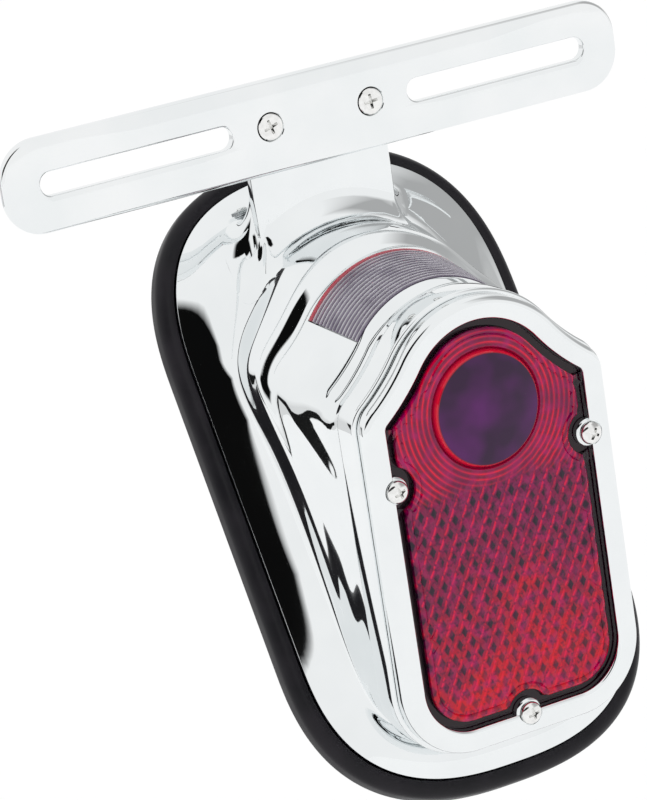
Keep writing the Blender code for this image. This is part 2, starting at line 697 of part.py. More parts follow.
# ---------------------------------------------------------------- bulb and socket
def make_socket(mats):
    axis = on_y(0.0, LENS_AXIS_Z)
    back = SOCKET_BACK_Y
    outer, inner = SOCKET_RADIUS, SOCKET_RADIUS - 0.7
    front = back - 25.5
    profile = (
        (inner, front),
        (outer, front),
        (outer, front + 3.0),
        (outer + 1.7, front + 3.4),
        (outer + 1.7, front + 4.2),
        (outer, front + 4.6),
        (outer, back),
        (3.0, back),
        (3.0, back - 0.8),
        (inner, back - 0.8),
    )
    shell = turned("socket_shell", profile, axis, mats["brass"], 32, closed=True)
    # The slots that take the bulb's two pins
    for side in (-1, 1):
        corners = ((-1.4, 7.2), (1.4, 7.2), (1.4, 11.5), (-1.4, 11.5))
        rings = []
        for y in (front - 1.0, back - 13.4):
            rings.append([(x, y, LENS_AXIS_Z + side * z) for x, z in corners])
        cut(shell, loft(f"pin_slot_{side}", rings, None))
    # Sheet-steel bracket: an upright plate on two legs with riveted feet
    plate_y = (front + 4.9, front + 6.1)
    half, height = 20.0, 15.0
    corners = ((-half, -height), (half, -height), (half, height), (-half, height))
    rings = [[(x, y, LENS_AXIS_Z + z) for x, z in corners] for y in plate_y]
    bracket = loft("socket_bracket", rings, mats["zinc"])
    cut(bracket, turned("socket_hole", ((outer + CLEAR, -30.0), (outer + CLEAR, 0.0)), axis, None, 32))
    for side in (-1, 1):
        x0, x1 = side * (half - 1.2), side * half
        low, high = LENS_AXIS_Z - 6.0, LENS_AXIS_Z + 7.0
        side_view = (
            (plate_y[0] + 0.4, low),
            (base_y(low, 1.9), low),
            (base_y(high, 1.9), high),
            (plate_y[0] + 0.4, high),
        )
        rings = [[(x, y, z) for y, z in side_view] for x in (x0, x1)]
        fuse(bracket, loft(f"bracket_leg_{side}", rings, None))
        foot_low, _ = to_base(base_y(low, 1.9), low)
        foot_high, _ = to_base(base_y(high, 1.9), high)
        xs = (side * (half - 0.6), side * (half + 9.0))
        foot = ((xs[0], foot_low), (xs[1], foot_low), (xs[1], foot_high), (xs[0], foot_high))
        rings = [[base_point(x, s, h) for x, s in foot] for h in (1.8, 3.0)]
        fuse(bracket, loft(f"bracket_foot_{side}", rings, None))
        hole = ((1.9, 0.5), (1.9, 5.0))
        cut(bracket, turned(f"foot_hole_{side}", hole, on_base(side * RIVET_X, RIVET_S), None))
        word = "left" if side < 0 else "right"
        rivet = ((1.5, 0.3), (1.5, 3.3), (2.9, 3.3), (2.6, 4.2), (1.2, 4.7))
        turned(f"bracket_rivet_{word}", rivet, on_base(side * RIVET_X, RIVET_S), mats["zinc"], 20)


def make_contacts(mats):
    axis_z = LENS_AXIS_Z
    back = SOCKET_BACK_Y
    disc = ((7.5, back - 7.3), (7.5, back - 5.7))
    turned("contact_disc", disc, on_y(0.0, axis_z), mats["phenolic"], 28)
    for word, side in (("left", -1), ("right", 1)):
        button = ((1.2, back - 8.2), (1.5, back - 8.0), (1.5, back - 7.6))
        turned(f"contact_button_{word}", button, on_y(side * 3.0, axis_z), mats["brass"], 16)
    coil_radius, wire = 5.4, 0.45
    start, length, turns, per_turn = back - 4.9, 3.4, 2.5, 16
    rings = []
    for i in range(int(turns * per_turn) + 1):
        t = 2 * math.pi * i / per_turn
        y = start + length * i / (turns * per_turn)
        ring = []
        for k in range(6):
            a = 2 * math.pi * k / 6
            r = coil_radius + wire * math.cos(a)
            ring.append((r * math.cos(t), y + wire * math.sin(a), axis_z + r * math.sin(t)))
        rings.append(ring)
    loft("contact_spring", rings, mats["spring"])


def wire_loop(name, half, z, y_from, y_to, mat):
    """A bent support wire with its filament across the top, as one round rod."""
    path = (
        (-half, y_from),
        (-half, y_to + 1.6),
        (-half + 1.0, y_to),
        (half - 1.0, y_to),
        (half, y_to + 1.6),
        (half, y_from),
    )
    rings = []
    for i, (x, y) in enumerate(path):
        before = path[max(i - 1, 0)]
        after = path[min(i + 1, len(path) - 1)]
        size = math.hypot(after[0] - before[0], after[1] - before[1])
        side = ((before[1] - after[1]) / size, (after[0] - before[0]) / size)
        ring = []
        for k in range(6):
            a = 2 * math.pi * k / 6
            reach = 0.4 * math.cos(a)
            ring.append((x + reach * side[0], y + reach * side[1], z + 0.4 * math.sin(a)))
        rings.append(ring)
    loft(name, rings, mat)


def make_bulb(mats):
    axis = on_y(0.0, LENS_AXIS_Z)
    back = SOCKET_BACK_Y - 11.5  # back end of the brass cap
    cap = (
        (7.0, back - 17.0),
        (7.5, back - 17.0),
        (7.5, back - 0.6),
        (7.0, back),
        (6.2, back),
        (6.2, back - 0.8),
        (7.0, back - 1.2),
    )
    shell = turned("bulb_base", cap, axis, mats["brass"], 32, closed=True)
    pin = ((-1.0, -1.0), (1.0, -1.0), (1.0, 1.0), (-1.0, 1.0))
    for side in (-1, 1):
        rings = []
        for z in (side * 7.1, side * 8.6):
            rings.append([(x, back - 6.0 + y, LENS_AXIS_Z + z) for x, y in pin])
        fuse(shell, loft(f"bayonet_pin_{side}", rings, None))
    neck = back - 11.0
    outside = ((6.6, neck), (6.6, neck - 6.5), (8.6, neck - 9.5), (11.6, neck - 14.0))
    outside += ((13.0, neck - 20.0), (12.4, neck - 25.5), (9.6, neck - 30.5), (4.6, neck - 33.4))
    inside = tuple((r - 0.7, y + (0.5 if y < neck - 28 else 0.0)) for r, y in outside[::-1])
    glass_profile = outside + ((0.8, neck - 34.0), (0.8, neck - 33.3)) + inside
    turned("bulb_glass", glass_profile, axis, mats["glass"], 32, closed=True)
    stem = ((5.2, neck - 0.4), (4.4, neck - 3.0), (2.6, neck - 6.5))
    turned("glass_stem", stem, axis, mats["glass"], 20)
    wire_loop("filament_tail", 3.6, LENS_AXIS_Z - 2.6, neck - 7.2, neck - 19.0, mats["wire"])
    wire_loop("filament_brake", 4.6, LENS_AXIS_Z + 2.6, neck - 7.2, neck - 22.5, mats["wire"])
    insulator = ((5.8, back - 0.7), (5.8, back + 0.6), (5.2, back + 1.2))
    turned("bulb_insulator", insulator, axis, mats["phenolic"], 24)
    for word, side in (("left", -1), ("right", 1)):
        dot = ((1.7, back + 1.5), (1.7, back + 2.0), (1.0, back + 2.7))
        turned(f"bulb_contact_{word}", dot, on_y(side * 3.0, LENS_AXIS_Z), mats["solder"], 16)


def main():
    for old in list(bpy.data.objects):
        bpy.data.objects.remove(old, do_unlink=True)
    mats = make_materials()
    make_gasket(mats)
    make_back_plate(mats)
    make_base_screws(mats)
    make_mount_nuts(mats)
    make_grommet(mats)
    make_housing(mats)
    make_window(mats)
    make_lens_seal(mats)
    make_lens(mats)
    make_bezel(mats)
    make_bezel_screws(mats)
    make_plate_bracket(mats)
    make_bracket_fixings(mats)
    make_socket(mats)
    make_contacts(mats)
    make_bulb(mats)


main()
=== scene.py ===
"""Fine surfaces, materials, light and camera of the motorcycle tail light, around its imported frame."""

import json
import math
from functools import partial

import bmesh
import bpy
import numpy as np
from mathutils import Matrix, Vector
from mathutils.bvhtree import BVHTree
from mathutils.geometry import delaunay_2d_cdt
from mathutils.interpolate import poly_3d_calc


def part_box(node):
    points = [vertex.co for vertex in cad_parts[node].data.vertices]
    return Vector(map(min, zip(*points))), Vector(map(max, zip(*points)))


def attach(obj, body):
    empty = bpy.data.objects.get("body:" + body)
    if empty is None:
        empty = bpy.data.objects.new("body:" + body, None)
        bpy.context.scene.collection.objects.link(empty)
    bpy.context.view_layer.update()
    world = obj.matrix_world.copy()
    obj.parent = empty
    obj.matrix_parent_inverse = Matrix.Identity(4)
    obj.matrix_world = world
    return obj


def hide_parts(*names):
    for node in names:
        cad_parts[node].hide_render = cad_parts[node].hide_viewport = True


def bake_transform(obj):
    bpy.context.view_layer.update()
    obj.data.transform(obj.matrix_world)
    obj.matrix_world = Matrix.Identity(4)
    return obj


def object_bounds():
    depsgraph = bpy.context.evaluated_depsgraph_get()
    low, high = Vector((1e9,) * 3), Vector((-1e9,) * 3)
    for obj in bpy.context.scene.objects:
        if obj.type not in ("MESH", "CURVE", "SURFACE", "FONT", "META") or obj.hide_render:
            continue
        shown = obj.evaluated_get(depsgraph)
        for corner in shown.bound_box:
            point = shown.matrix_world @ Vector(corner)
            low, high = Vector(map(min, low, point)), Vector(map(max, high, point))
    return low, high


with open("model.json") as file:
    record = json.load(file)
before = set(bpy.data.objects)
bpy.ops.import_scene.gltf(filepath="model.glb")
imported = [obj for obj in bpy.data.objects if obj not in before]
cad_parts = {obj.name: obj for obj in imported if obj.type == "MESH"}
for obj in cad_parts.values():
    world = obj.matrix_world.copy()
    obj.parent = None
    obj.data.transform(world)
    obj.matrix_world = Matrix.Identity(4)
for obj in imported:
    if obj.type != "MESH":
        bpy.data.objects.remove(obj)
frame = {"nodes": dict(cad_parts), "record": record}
cad_low, cad_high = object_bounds()
NODES = frame["nodes"]

# ---------------------------------------------------------------- frame values, mm
MM = 0.001


def box_mm(node):
    low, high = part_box(node)
    return low / MM, high / MM


def mount_axis(name):
    found = [m for m in frame["record"]["mounts"] if m["name"] == name]
    return Vector(found[0]["axis"])


FENDER_AXIS = mount_axis("fender_face")
TILT = math.atan2(-FENDER_AXIS.z, FENDER_AXIS.y)
BEZEL_BOX = box_mm("bezel")
BULB_BOX = box_mm("bulb_glass")
STRAP_BOX = box_mm("plate_bracket")
LENS_FRONT_Y = BEZEL_BOX[0].y
LENS_AXIS_Z = (BULB_BOX[0].z + BULB_BOX[1].z) / 2

# Tombstone outline of the lens opening, and the body behind it
ARCH_RADIUS = 21.4
ARCH_RISE = 1.9
BEZEL_WIDTH = 6.2
HALF_WIDTH = BEZEL_BOX[1].x - BEZEL_WIDTH
OPENING_DROP = 83.3
FLANK_RADIUS = 63.3
SHOULDER_RADIUS = 2.0
CORNER_RADIUS = 13.3
BODY_START = 14.3  # depth at which the body leaves the collar
BODY_WIDTH = 5.9  # how far the body stands outside the opening
WALL = 2.5
FLARE_X = 0.10  # slopes of the body's sides and of its top
FLARE_Z = 0.17
WINDOW_DEPTH = (23.2, 46.1)
WINDOW_ANGLE = 38.0
SEAT_WIDTH = 2.6
SEAT_DEPTHS = (4.9, 7.2, 9.8, 12.4)  # the lens's seat, and the rib that holds its seal
SEAL_INNER = 4.2
COLLAR_WIDTH = 7.3
LENS_EDGE = (3.1, 5.1)  # depths of the lens's rim, front and back

# Base flange
FLANGE_HALF_WIDTH = 48.0
FLANGE_HALF_HEIGHT = 85.5
FLANGE_H = (5.0, 7.5)
ROUND_TOP = 48.0
ROUND_BOTTOM = 43.0
ROUND_POWER = 2.6
SHOULDER_S = 31.0  # where the outline's straight side begins
INNER_GROW = -5.0  # how far the casting's inside stays from the flange's edge
PILLOW_HEIGHT = 2.2
PILLOW_WIDTH = 14.0

BEZEL_SCREWS = ((-29.0, -14.4), (29.0, -14.4), (0.0, -83.6))
BASE_SCREWS = ((0.0, -69.0), (-30.0, 47.0), (30.0, 47.0))

STRAP_CORNER = 10.8
STRAP_FRONT_Y, STRAP_BACK_Y = STRAP_BOX[0].y, STRAP_BOX[1].y
STRAP_Z = (STRAP_BOX[0].z + STRAP_BOX[1].z) / 2
STRAP_HALF = (STRAP_BOX[1].x, (STRAP_BOX[1].z - STRAP_BOX[0].z) / 2)
SLOT = (26.5, 82.5)
SLOT_RADIUS = 3.175
STRAP_SCREW_X = 15.2
BOSS_HALF_WIDTH = 21.0
BOSS_FRONT_Y = STRAP_BACK_Y + 0.3
BOSS_BACK_Y = 20.2

FINE = 5  # subdivisions of each step of the frame's outlines
STEPS = {"arch": 8, "flank": 3, "shoulder": 3, "side": 7, "corner": 6, "foot": 3}
STEPS = {name: count * FINE for name, count in STEPS.items()}


# ---------------------------------------------------------------- coordinates and outlines
def lens_point(x, depth, z):
    return (x, LENS_FRONT_Y + depth, LENS_AXIS_Z + z)


def base_point(x, s, h):
    lean, rise = math.sin(TILT), math.cos(TILT)
    return (x, s * lean - h * rise, s * rise + h * lean)


def to_base(y, z):
    lean, rise = math.sin(TILT), math.cos(TILT)
    return (y * lean + z * rise, -y * rise + z * lean)


def base_y(z, h):
    return z * math.tan(TILT) - h / math.cos(TILT)


def arc(cx, cz, radius, start, end, steps, inward=False):
    """(x, z, nx, nz) along an arc, leaving out its first point."""
    out = []
    for k in range(1, steps + 1):
        t = math.radians(start + (end - start) * k / steps)
        sign = -1.0 if inward else 1.0
        side = (sign * math.cos(t), sign * math.sin(t))
        out.append((cx + radius * math.cos(t), cz + radius * math.sin(t), *side))
    return out


def half_opening():
    """Right half of the tombstone outline, from the top to the bottom, with normals."""
    corner_x = HALF_WIDTH - SHOULDER_RADIUS
    far = ARCH_RADIUS + FLANK_RADIUS
    near = FLANK_RADIUS + SHOULDER_RADIUS
    corner_z = 1.6
    gap_x, gap_z = corner_x, corner_z - ARCH_RISE
    span = math.hypot(gap_x, gap_z)
    along = (far**2 - near**2 + span**2) / (2 * span)
    off = math.sqrt(far**2 - along**2)
    flank_x = (along * gap_x - off * gap_z) / span
    flank_z = ARCH_RISE + (along * gap_z + off * gap_x) / span
    leave = math.degrees(math.atan2(flank_z - ARCH_RISE, flank_x))
    reach = math.degrees(math.atan2(flank_z - corner_z, flank_x - corner_x))
    side_end = CORNER_RADIUS - OPENING_DROP
    points = [(0.0, ARCH_RISE + ARCH_RADIUS, 0.0, 1.0)]
    points += arc(0.0, ARCH_RISE, ARCH_RADIUS, 90.0, leave, STEPS["arch"])
    points += arc(flank_x, flank_z, FLANK_RADIUS, 180 + leave, 180 + reach, STEPS["flank"], True)
    points += arc(corner_x, corner_z, SHOULDER_RADIUS, reach, 0.0, STEPS["shoulder"])
    for k in range(1, STEPS["side"] + 1):
        points.append((HALF_WIDTH, corner_z + (side_end - corner_z) * k / STEPS["side"], 1.0, 0.0))
    corner_in = HALF_WIDTH - CORNER_RADIUS
    points += arc(corner_in, side_end, CORNER_RADIUS, 0.0, -90.0, STEPS["corner"])
    for k in range(1, STEPS["foot"] + 1):
        points.append((corner_in * (1 - k / STEPS["foot"]), -OPENING_DROP, 0.0, -1.0))
    return points


def both_halves(half):
    return half + [(-p[0], p[1], -p[2], p[3]) for p in half[-2:0:-1]]


OUTLINE = both_halves(half_opening())


def opening_ring(grow, depth):
    return [lens_point(x + grow * nx, depth, z + grow * nz) for x, z, nx, nz in OUTLINE]


def half_flange():
    """Right half of the flange outline (x, s), matched point for point to the opening."""
    power = 2.0 / ROUND_POWER
    top = FLANGE_HALF_HEIGHT - ROUND_TOP
    bottom = ROUND_BOTTOM - FLANGE_HALF_HEIGHT
    head = STEPS["arch"] + STEPS["flank"] + STEPS["shoulder"]
    tail = STEPS["corner"] + STEPS["foot"]
    points = []
    for k in range(head + 1):
        share = k / head / 0.85
        t = math.radians(90.0 * (1 - min(share, 1.0)))
        x = FLANGE_HALF_WIDTH * math.cos(t) ** power
        s = top + ROUND_TOP * max(math.sin(t), 0.0) ** power
        if share > 1.0:
            s = top + (SHOULDER_S - top) * (k / head - 0.85) / 0.15
        points.append((0.0 if k == 0 else x, s))
    for k in range(1, STEPS["side"] + 1):
        points.append((FLANGE_HALF_WIDTH, SHOULDER_S + (bottom - SHOULDER_S) * k / STEPS["side"]))
    for k in range(1, tail + 1):
        t = math.radians(90.0 * k / tail)
        x = FLANGE_HALF_WIDTH * max(math.cos(t), 0.0) ** power
        points.append((0.0 if k == tail else x, bottom - ROUND_BOTTOM * math.sin(t) ** power))
    return points


def flange_outline(grow):
    half = half_flange()
    whole = half + [(-x, s) for x, s in half[-2:0:-1]]
    count = len(whole)
    out = []
    for i, (x, s) in enumerate(whole):
        before, after = whole[i - 1], whole[(i + 1) % count]
        dx, ds = after[0] - before[0], after[1] - before[1]
        size = math.hypot(dx, ds)
        out.append((x - grow * ds / size, s + grow * dx / size))
    return out


def flange_ring(grow, h):
    return [base_point(x, s, h) for x, s in flange_outline(grow)]


def smooth(x, low, high):
    t = min(max((x - low) / (high - low), 0.0), 1.0)
    return t * t * (3 - 2 * t)


def bezier(p0, p1, p2, p3, t):
    return (1 - t) ** 3 * p0 + 3 * t * (1 - t) ** 2 * p1 + 3 * t * t * (1 - t) * p2 + t**3 * p3


def scallop(share):
    """Depth, from 0 in the middle to 1 at both ends, across one round-topped rib."""
    return 1 - math.sqrt(max(0.0, 1 - (2 * share - 1) ** 2))


def rounded(points, radii, steps=4, closed=True):
    """A polyline with its corners rounded. radii holds one radius, or one for each point."""
    count = len(points)
    out = []
    for i, corner in enumerate(points):
        radius = radii[i] if hasattr(radii, "__len__") else radii
        if radius <= 0 or (not closed and i in (0, count - 1)):
            out.append(corner)
            continue
        a, c, b = (Vector(points[i - 1]), Vector(corner), Vector(points[(i + 1) % count]))
        u, v = (a - c), (b - c)
        reach = min(radius, 0.48 * u.length, 0.48 * v.length)
        p0, p2 = c + u.normalized() * reach, c + v.normalized() * reach
        for k in range(steps + 1):
            t = k / steps
            out.append(tuple((1 - t) ** 2 * p0 + 2 * t * (1 - t) * c + t * t * p2))
    return out


# ---------------------------------------------------------------- mesh helpers
def add_object(name, data):
    made = bpy.data.objects.new(name, data)
    bpy.context.scene.collection.objects.link(made)
    return made


def new_object(name, verts, faces, angle=35.0):
    """A smooth-shaded object from millimetre points, with its normals facing out."""
    mesh = bpy.data.meshes.new(name)
    mesh.from_pydata([tuple(c * MM for c in v) for v in verts], [], faces)
    form = bmesh.new()
    form.from_mesh(mesh)
    bmesh.ops.remove_doubles(form, verts=form.verts, dist=1e-7)
    bmesh.ops.recalc_face_normals(form, faces=form.faces)
    form.to_mesh(mesh)
    form.free()
    shade(mesh, angle)
    return add_object(name, mesh)


def shade(mesh, angle):
    mesh.polygons.foreach_set("use_smooth", [True] * len(mesh.polygons))
    mesh.set_sharp_from_angle(angle=math.radians(angle))


def loft(name, rings, closed=False, angle=35.0):
    size = len(rings[0])
    count = len(rings)
    faces = []
    for k in range(count if closed else count - 1):
        a, b = k * size, ((k + 1) % count) * size
        for i in range(size):
            j = (i + 1) % size
            faces.append((a + i, a + j, b + j, b + i))
    if not closed:
        faces.append(tuple(range(size)))
        faces.append(tuple((count - 1) * size + i for i in range(size)))
    return new_object(name, [p for ring in rings for p in ring], faces, angle)


def on_y(x, z):
    return lambda r, t, a: (x + r * math.cos(t), a, z + r * math.sin(t))


def on_base(x0, s0):
    return lambda r, t, a: base_point(x0 + r * math.cos(t), s0 + r * math.sin(t), a)


def turned(name, profile, place, sides=48, angle=35.0):
    turns = [2 * math.pi * i / sides for i in range(sides)]
    rings = [[place(radius, t, along) for t in turns] for radius, along in profile]
    return loft(name, rings, angle=angle)


def boolean(target, tools, operation, angle=35.0):
    """Joins or cuts with each tool, bakes the result into the mesh and removes the tools."""
    for tool in tools:
        change = target.modifiers.new("b", "BOOLEAN")
        change.operation = operation
        change.solver = "EXACT"
        change.object = tool
    graph = bpy.context.evaluated_depsgraph_get()
    mesh = bpy.data.meshes.new_from_object(target.evaluated_get(graph))
    target.modifiers.clear()
    target.data = mesh
    shade(mesh, angle)
    for tool in tools:
        bpy.data.objects.remove(tool)


def fill(loops, extra=()):
    """Triangles between an outer loop and hole loops in a plane, as indices of all the points."""
    points = [Vector(p) for loop in loops for p in loop] + [Vector(p) for p in extra]
    edges, start = [], 0
    for loop in loops:
        edges += [(start + i, start + (i + 1) % len(loop)) for i in range(len(loop))]
        start += len(loop)
    verts, _, faces, origin, _, _ = delaunay_2d_cdt(points, edges, [], 1, 1e-6, True)
    index = [o[0] for o in origin]
    holes = [np.array(loop) for loop in loops[1:]]
    out = []
    for face in faces:
        middle = sum((verts[i] for i in face), Vector((0, 0))) / len(face)
        if not any(inside(middle, hole) for hole in holes):
            out.append(tuple(index[i] for i in face))
    return out


def inside(point, loop):
    x, z = loop[:, 0], loop[:, 1]
    x2, z2 = np.roll(x, -1), np.roll(z, -1)
    crosses = (z > point[1]) != (z2 > point[1])
    span = np.where(z2 == z, 1e-12, z2 - z)
    return int((crosses & (point[0] < (x2 - x) * (point[1] - z) / span + x)).sum()) % 2 == 1


def plate(name, walls, extra=(), front=None, angle=35.0):
    """A plate across X and Z. Each wall is a list of rings (x, y, z) from the front to the back:
    the first wall is the outside and the rest are holes. front gives Y for the extra points."""
    verts, faces = [], []
    first, last = [], []
    for rings in walls:
        size = len(rings[0])
        base = len(verts)
        for ring in rings:
            verts += ring
        for k in range(len(rings) - 1):
            a, b = base + k * size, base + (k + 1) * size
            faces += [(a + i, a + (i + 1) % size, b + (i + 1) % size, b + i) for i in range(size)]
        first.append(list(range(base, base + size)))
        last.append(list(range(base + (len(rings) - 1) * size, base + len(rings) * size)))
    for ends, inner in ((first, extra), (last, ())):
        order = [i for loop in ends for i in loop]
        loops = [[(verts[i][0], verts[i][2]) for i in loop] for loop in ends]
        start = len(verts)
        verts += [(x, front(x, z), z) for x, z in inner]
        order += list(range(start, start + len(inner)))
        faces += [tuple(order[i] for i in face) for face in fill(loops, inner)]
    return new_object(name, verts, faces, angle)


# ---------------------------------------------------------------- materials
def socket(shader, name, value):
    shader.inputs[name].default_value = (*value, 1.0) if isinstance(value, tuple) else value


def new_material(name, color, roughness, metallic=0.0, **more):
    made = bpy.data.materials.new(name)
    made.use_nodes = True
    shader = made.node_tree.nodes["Principled BSDF"]
    socket(shader, "Base Color", color)
    socket(shader, "Roughness", roughness)
    socket(shader, "Metallic", metallic)
    for key, value in more.items():
        socket(shader, key.replace("_", " "), value)
    return made


def add_node(made, kind, **settings):
    node = made.node_tree.nodes.new(kind)
    for key, value in settings.items():
        if key in node.inputs:
            node.inputs[key].default_value = value
        else:
            setattr(node, key, value)
    return node


def link(made, start, end):
    made.node_tree.links.new(start, end)


def object_coords(made):
    return add_node(made, "ShaderNodeTexCoord").outputs["Object"]


def noise(made, scale, detail=3.0):
    node = add_node(made, "ShaderNodeTexNoise", Scale=scale, Detail=detail)
    link(made, object_coords(made), node.inputs["Vector"])
    return node.outputs["Fac"]


def ramp(made, source, stops):
    node = add_node(made, "ShaderNodeValToRGB")
    band = node.color_ramp
    while len(band.elements) < len(stops):
        band.elements.new(0.5)
    for element, (place, value) in zip(band.elements, stops):
        element.position = place
        element.color = (value,) * 3 + (1.0,) if isinstance(value, float) else (*value, 1.0)
    link(made, source, node.inputs["Fac"])
    return node.outputs["Color"]


def feed(made, place, value):
    """Sets an input to a value, or links another node's output to it."""
    if isinstance(value, tuple):
        place.default_value = (*value, 1.0)
    elif isinstance(value, (int, float)):
        place.default_value = value
    else:
        link(made, value, place)


def math_node(made, operation, a, b=None):
    node = add_node(made, "ShaderNodeMath", operation=operation)
    feed(made, node.inputs[0], a)
    if b is not None:
        feed(made, node.inputs[1], b)
    return node.outputs[0]


def mix_color(made, factor, a, b):
    node = add_node(made, "ShaderNodeMix", data_type="RGBA")
    for index, value in ((0, factor), (6, a), (7, b)):
        feed(made, node.inputs[index], value)
    return node.outputs[2]


def vary(made, colors, roughness, scale, bump, bump_scale):
    """Blends two colours and two roughnesses by noise, and adds a fine bump."""
    shader = made.node_tree.nodes["Principled BSDF"]
    grain = noise(made, scale)
    link(made, ramp(made, grain, ((0.35, colors[0]), (0.65, colors[1]))), shader.inputs["Base Color"])
    level = ramp(made, grain, ((0.3, roughness[0]), (0.7, roughness[1])))
    link(made, level, shader.inputs["Roughness"])
    if bump:
        node = add_node(made, "ShaderNodeBump", Strength=1.0, Distance=bump * MM)
        link(made, noise(made, bump_scale, 4.0), node.inputs["Height"])
        link(made, node.outputs["Normal"], shader.inputs["Normal"])


# slot: (name, colour, roughness, metallic, two colours, two roughnesses, grain, bump in mm, bump's grain)
FINISHES = {
    "chrome_zinc": (
        "chrome_plated_zinc", (0.9, 0.91, 0.92), 0.03, 1.0,
        ((0.835, 0.86, 0.868), (0.865, 0.888, 0.895)), (0.015, 0.04), 60.0, 0.0004, 220.0,
    ),
    "chrome_steel": (
        "chrome_plated_steel", (0.9, 0.91, 0.92), 0.05, 1.0,
        ((0.84, 0.865, 0.872), (0.885, 0.90, 0.905)), (0.03, 0.07), 45.0, 0.0005, 200.0,
    ),
    "nickel_screw": (
        "nickel_plated_steel", (0.8, 0.8, 0.79), 0.12, 1.0,
        ((0.80, 0.80, 0.79), (0.90, 0.90, 0.89)), (0.08, 0.16), 900.0, 0.004, 2500.0,
    ),
    "zinc_steel": (
        "zinc_plated_steel", (0.62, 0.64, 0.66), 0.35, 1.0,
        ((0.56, 0.58, 0.60), (0.70, 0.71, 0.70)), (0.28, 0.45), 140.0, 0.01, 1200.0,
    ),
    "black_rubber": (
        "black_rubber", (0.02, 0.02, 0.022), 0.4, 0.0,
        ((0.006, 0.0055, 0.008), (0.013, 0.011, 0.015)), (0.34, 0.50), 90.0, 0.015, 1500.0,
    ),
    "seal_rubber": (
        "seal_rubber", (0.05, 0.045, 0.04), 0.7, 0.0,
        ((0.035, 0.03, 0.028), (0.07, 0.06, 0.055)), (0.6, 0.8), 300.0, 0.03, 1800.0,
    ),
    "brass": (
        "bulb_brass", (0.75, 0.58, 0.28), 0.25, 1.0,
        ((0.70, 0.52, 0.22), (0.83, 0.66, 0.36)), (0.18, 0.34), 160.0, 0.006, 900.0,
    ),
    "bulb_glass": (
        "bulb_glass", (0.96, 0.97, 0.97), 0.01, 0.0,
        ((0.94, 0.95, 0.95), (0.98, 0.98, 0.98)), (0.0, 0.02), 120.0, 0.0, 0.0,
    ),
    "tungsten": (
        "filament_tungsten", (0.35, 0.34, 0.33), 0.4, 1.0,
        ((0.28, 0.27, 0.27), (0.42, 0.41, 0.40)), (0.3, 0.5), 900.0, 0.0, 0.0,
    ),
    "phenolic": (
        "brown_phenolic", (0.16, 0.07, 0.03), 0.5, 0.0,
        ((0.12, 0.05, 0.02), (0.20, 0.09, 0.045)), (0.4, 0.6), 250.0, 0.02, 2500.0,
    ),
    "spring_steel": (
        "spring_steel", (0.45, 0.45, 0.46), 0.3, 1.0,
        ((0.38, 0.38, 0.40), (0.55, 0.55, 0.56)), (0.2, 0.35), 500.0, 0.0, 0.0,
    ),
    "solder": (
        "solder_tin", (0.66, 0.66, 0.68), 0.35, 1.0,
        ((0.58, 0.58, 0.60), (0.74, 0.74, 0.75)), (0.25, 0.45), 800.0, 0.02, 2500.0,
    ),
}
MORE_INPUTS = {
    "black_rubber": {"Specular_IOR_Level": 0.22},
    "bulb_glass": {"Transmission_Weight": 1.0, "IOR": 1.5},
}


def make_materials():
    mats = {"red_acrylic": red_lens_material(), "clear_acrylic": window_material()}
    for slot, (name, color, roughness, metallic, *look) in FINISHES.items():
        mats[slot] = new_material(name, color, roughness, metallic, **MORE_INPUTS.get(slot, {}))
        vary(mats[slot], *look)
    return mats


def lens_coords(made):
    """Object coordinates in mm: x, depth behind the bezel's face and height over the bulb's axis."""
    split = add_node(made, "ShaderNodeSeparateXYZ")
    link(made, object_coords(made), split.inputs[0])
    x, y, z = (math_node(made, "MULTIPLY", split.outputs[k], 1 / MM) for k in range(3))
    return x, math_node(made, "SUBTRACT", y, LENS_FRONT_Y), math_node(made, "SUBTRACT", z, LENS_AXIS_Z)


# ---------------------------------------------------------------- red lens
CELL_PITCH = 3.85  # reflex cells, in rows at 0, 60 and 120 degrees
CELL_STEP = 0.2
BULLSEYE_RADIUS = 15.0
FLUTE_PITCH = 1.5
FLUTE_DEPTH = 0.16
FIELD_TOP = -13.5  # height of the reflex field's top edge below the bullseye's centre
PANEL_INSET = 2.0
BORDER = 5.6  # plain band between the opening's edge and the reflex field
NOTCH_RADIUS = 5.8
WALL_STEPS = (0.0, 0.18, 0.35, 0.65, 1.0, 1.65, 2.0, 2.35)  # where the border band's profile has points
EYE_RINGS = (2.5, 5.0, 7.5, 10.0, 12.0, 13.3, 14.0, 14.4, 14.7, 15.0, 15.3, 15.6, 16.1, 16.6)
FLUTES_FROM, FLUTES_TO = 17.2, 34.0
LENS_RING = np.array([(x, z) for x, z, _, _ in OUTLINE[::2]])


def outline_distance(x, z):
    """How far a point lies from the opening's outline."""
    ax, az = LENS_RING[:, 0], LENS_RING[:, 1]
    dx, dz = np.roll(ax, -1) - ax, np.roll(az, -1) - az
    t = np.clip(((x - ax) * dx + (z - az) * dz) / (dx * dx + dz * dz), 0, 1)
    return float(np.hypot(x - ax - t * dx, z - az - t * dz).min())


def notch_distance(x, z):
    return min(math.hypot(x - sx, z - sz) for sx, sz in BEZEL_SCREWS) - NOTCH_RADIUS


def in_field(x, z, edge, notch):
    return edge > BORDER and notch > 1.2 and z < FIELD_TOP and math.hypot(x, z) > 17.8


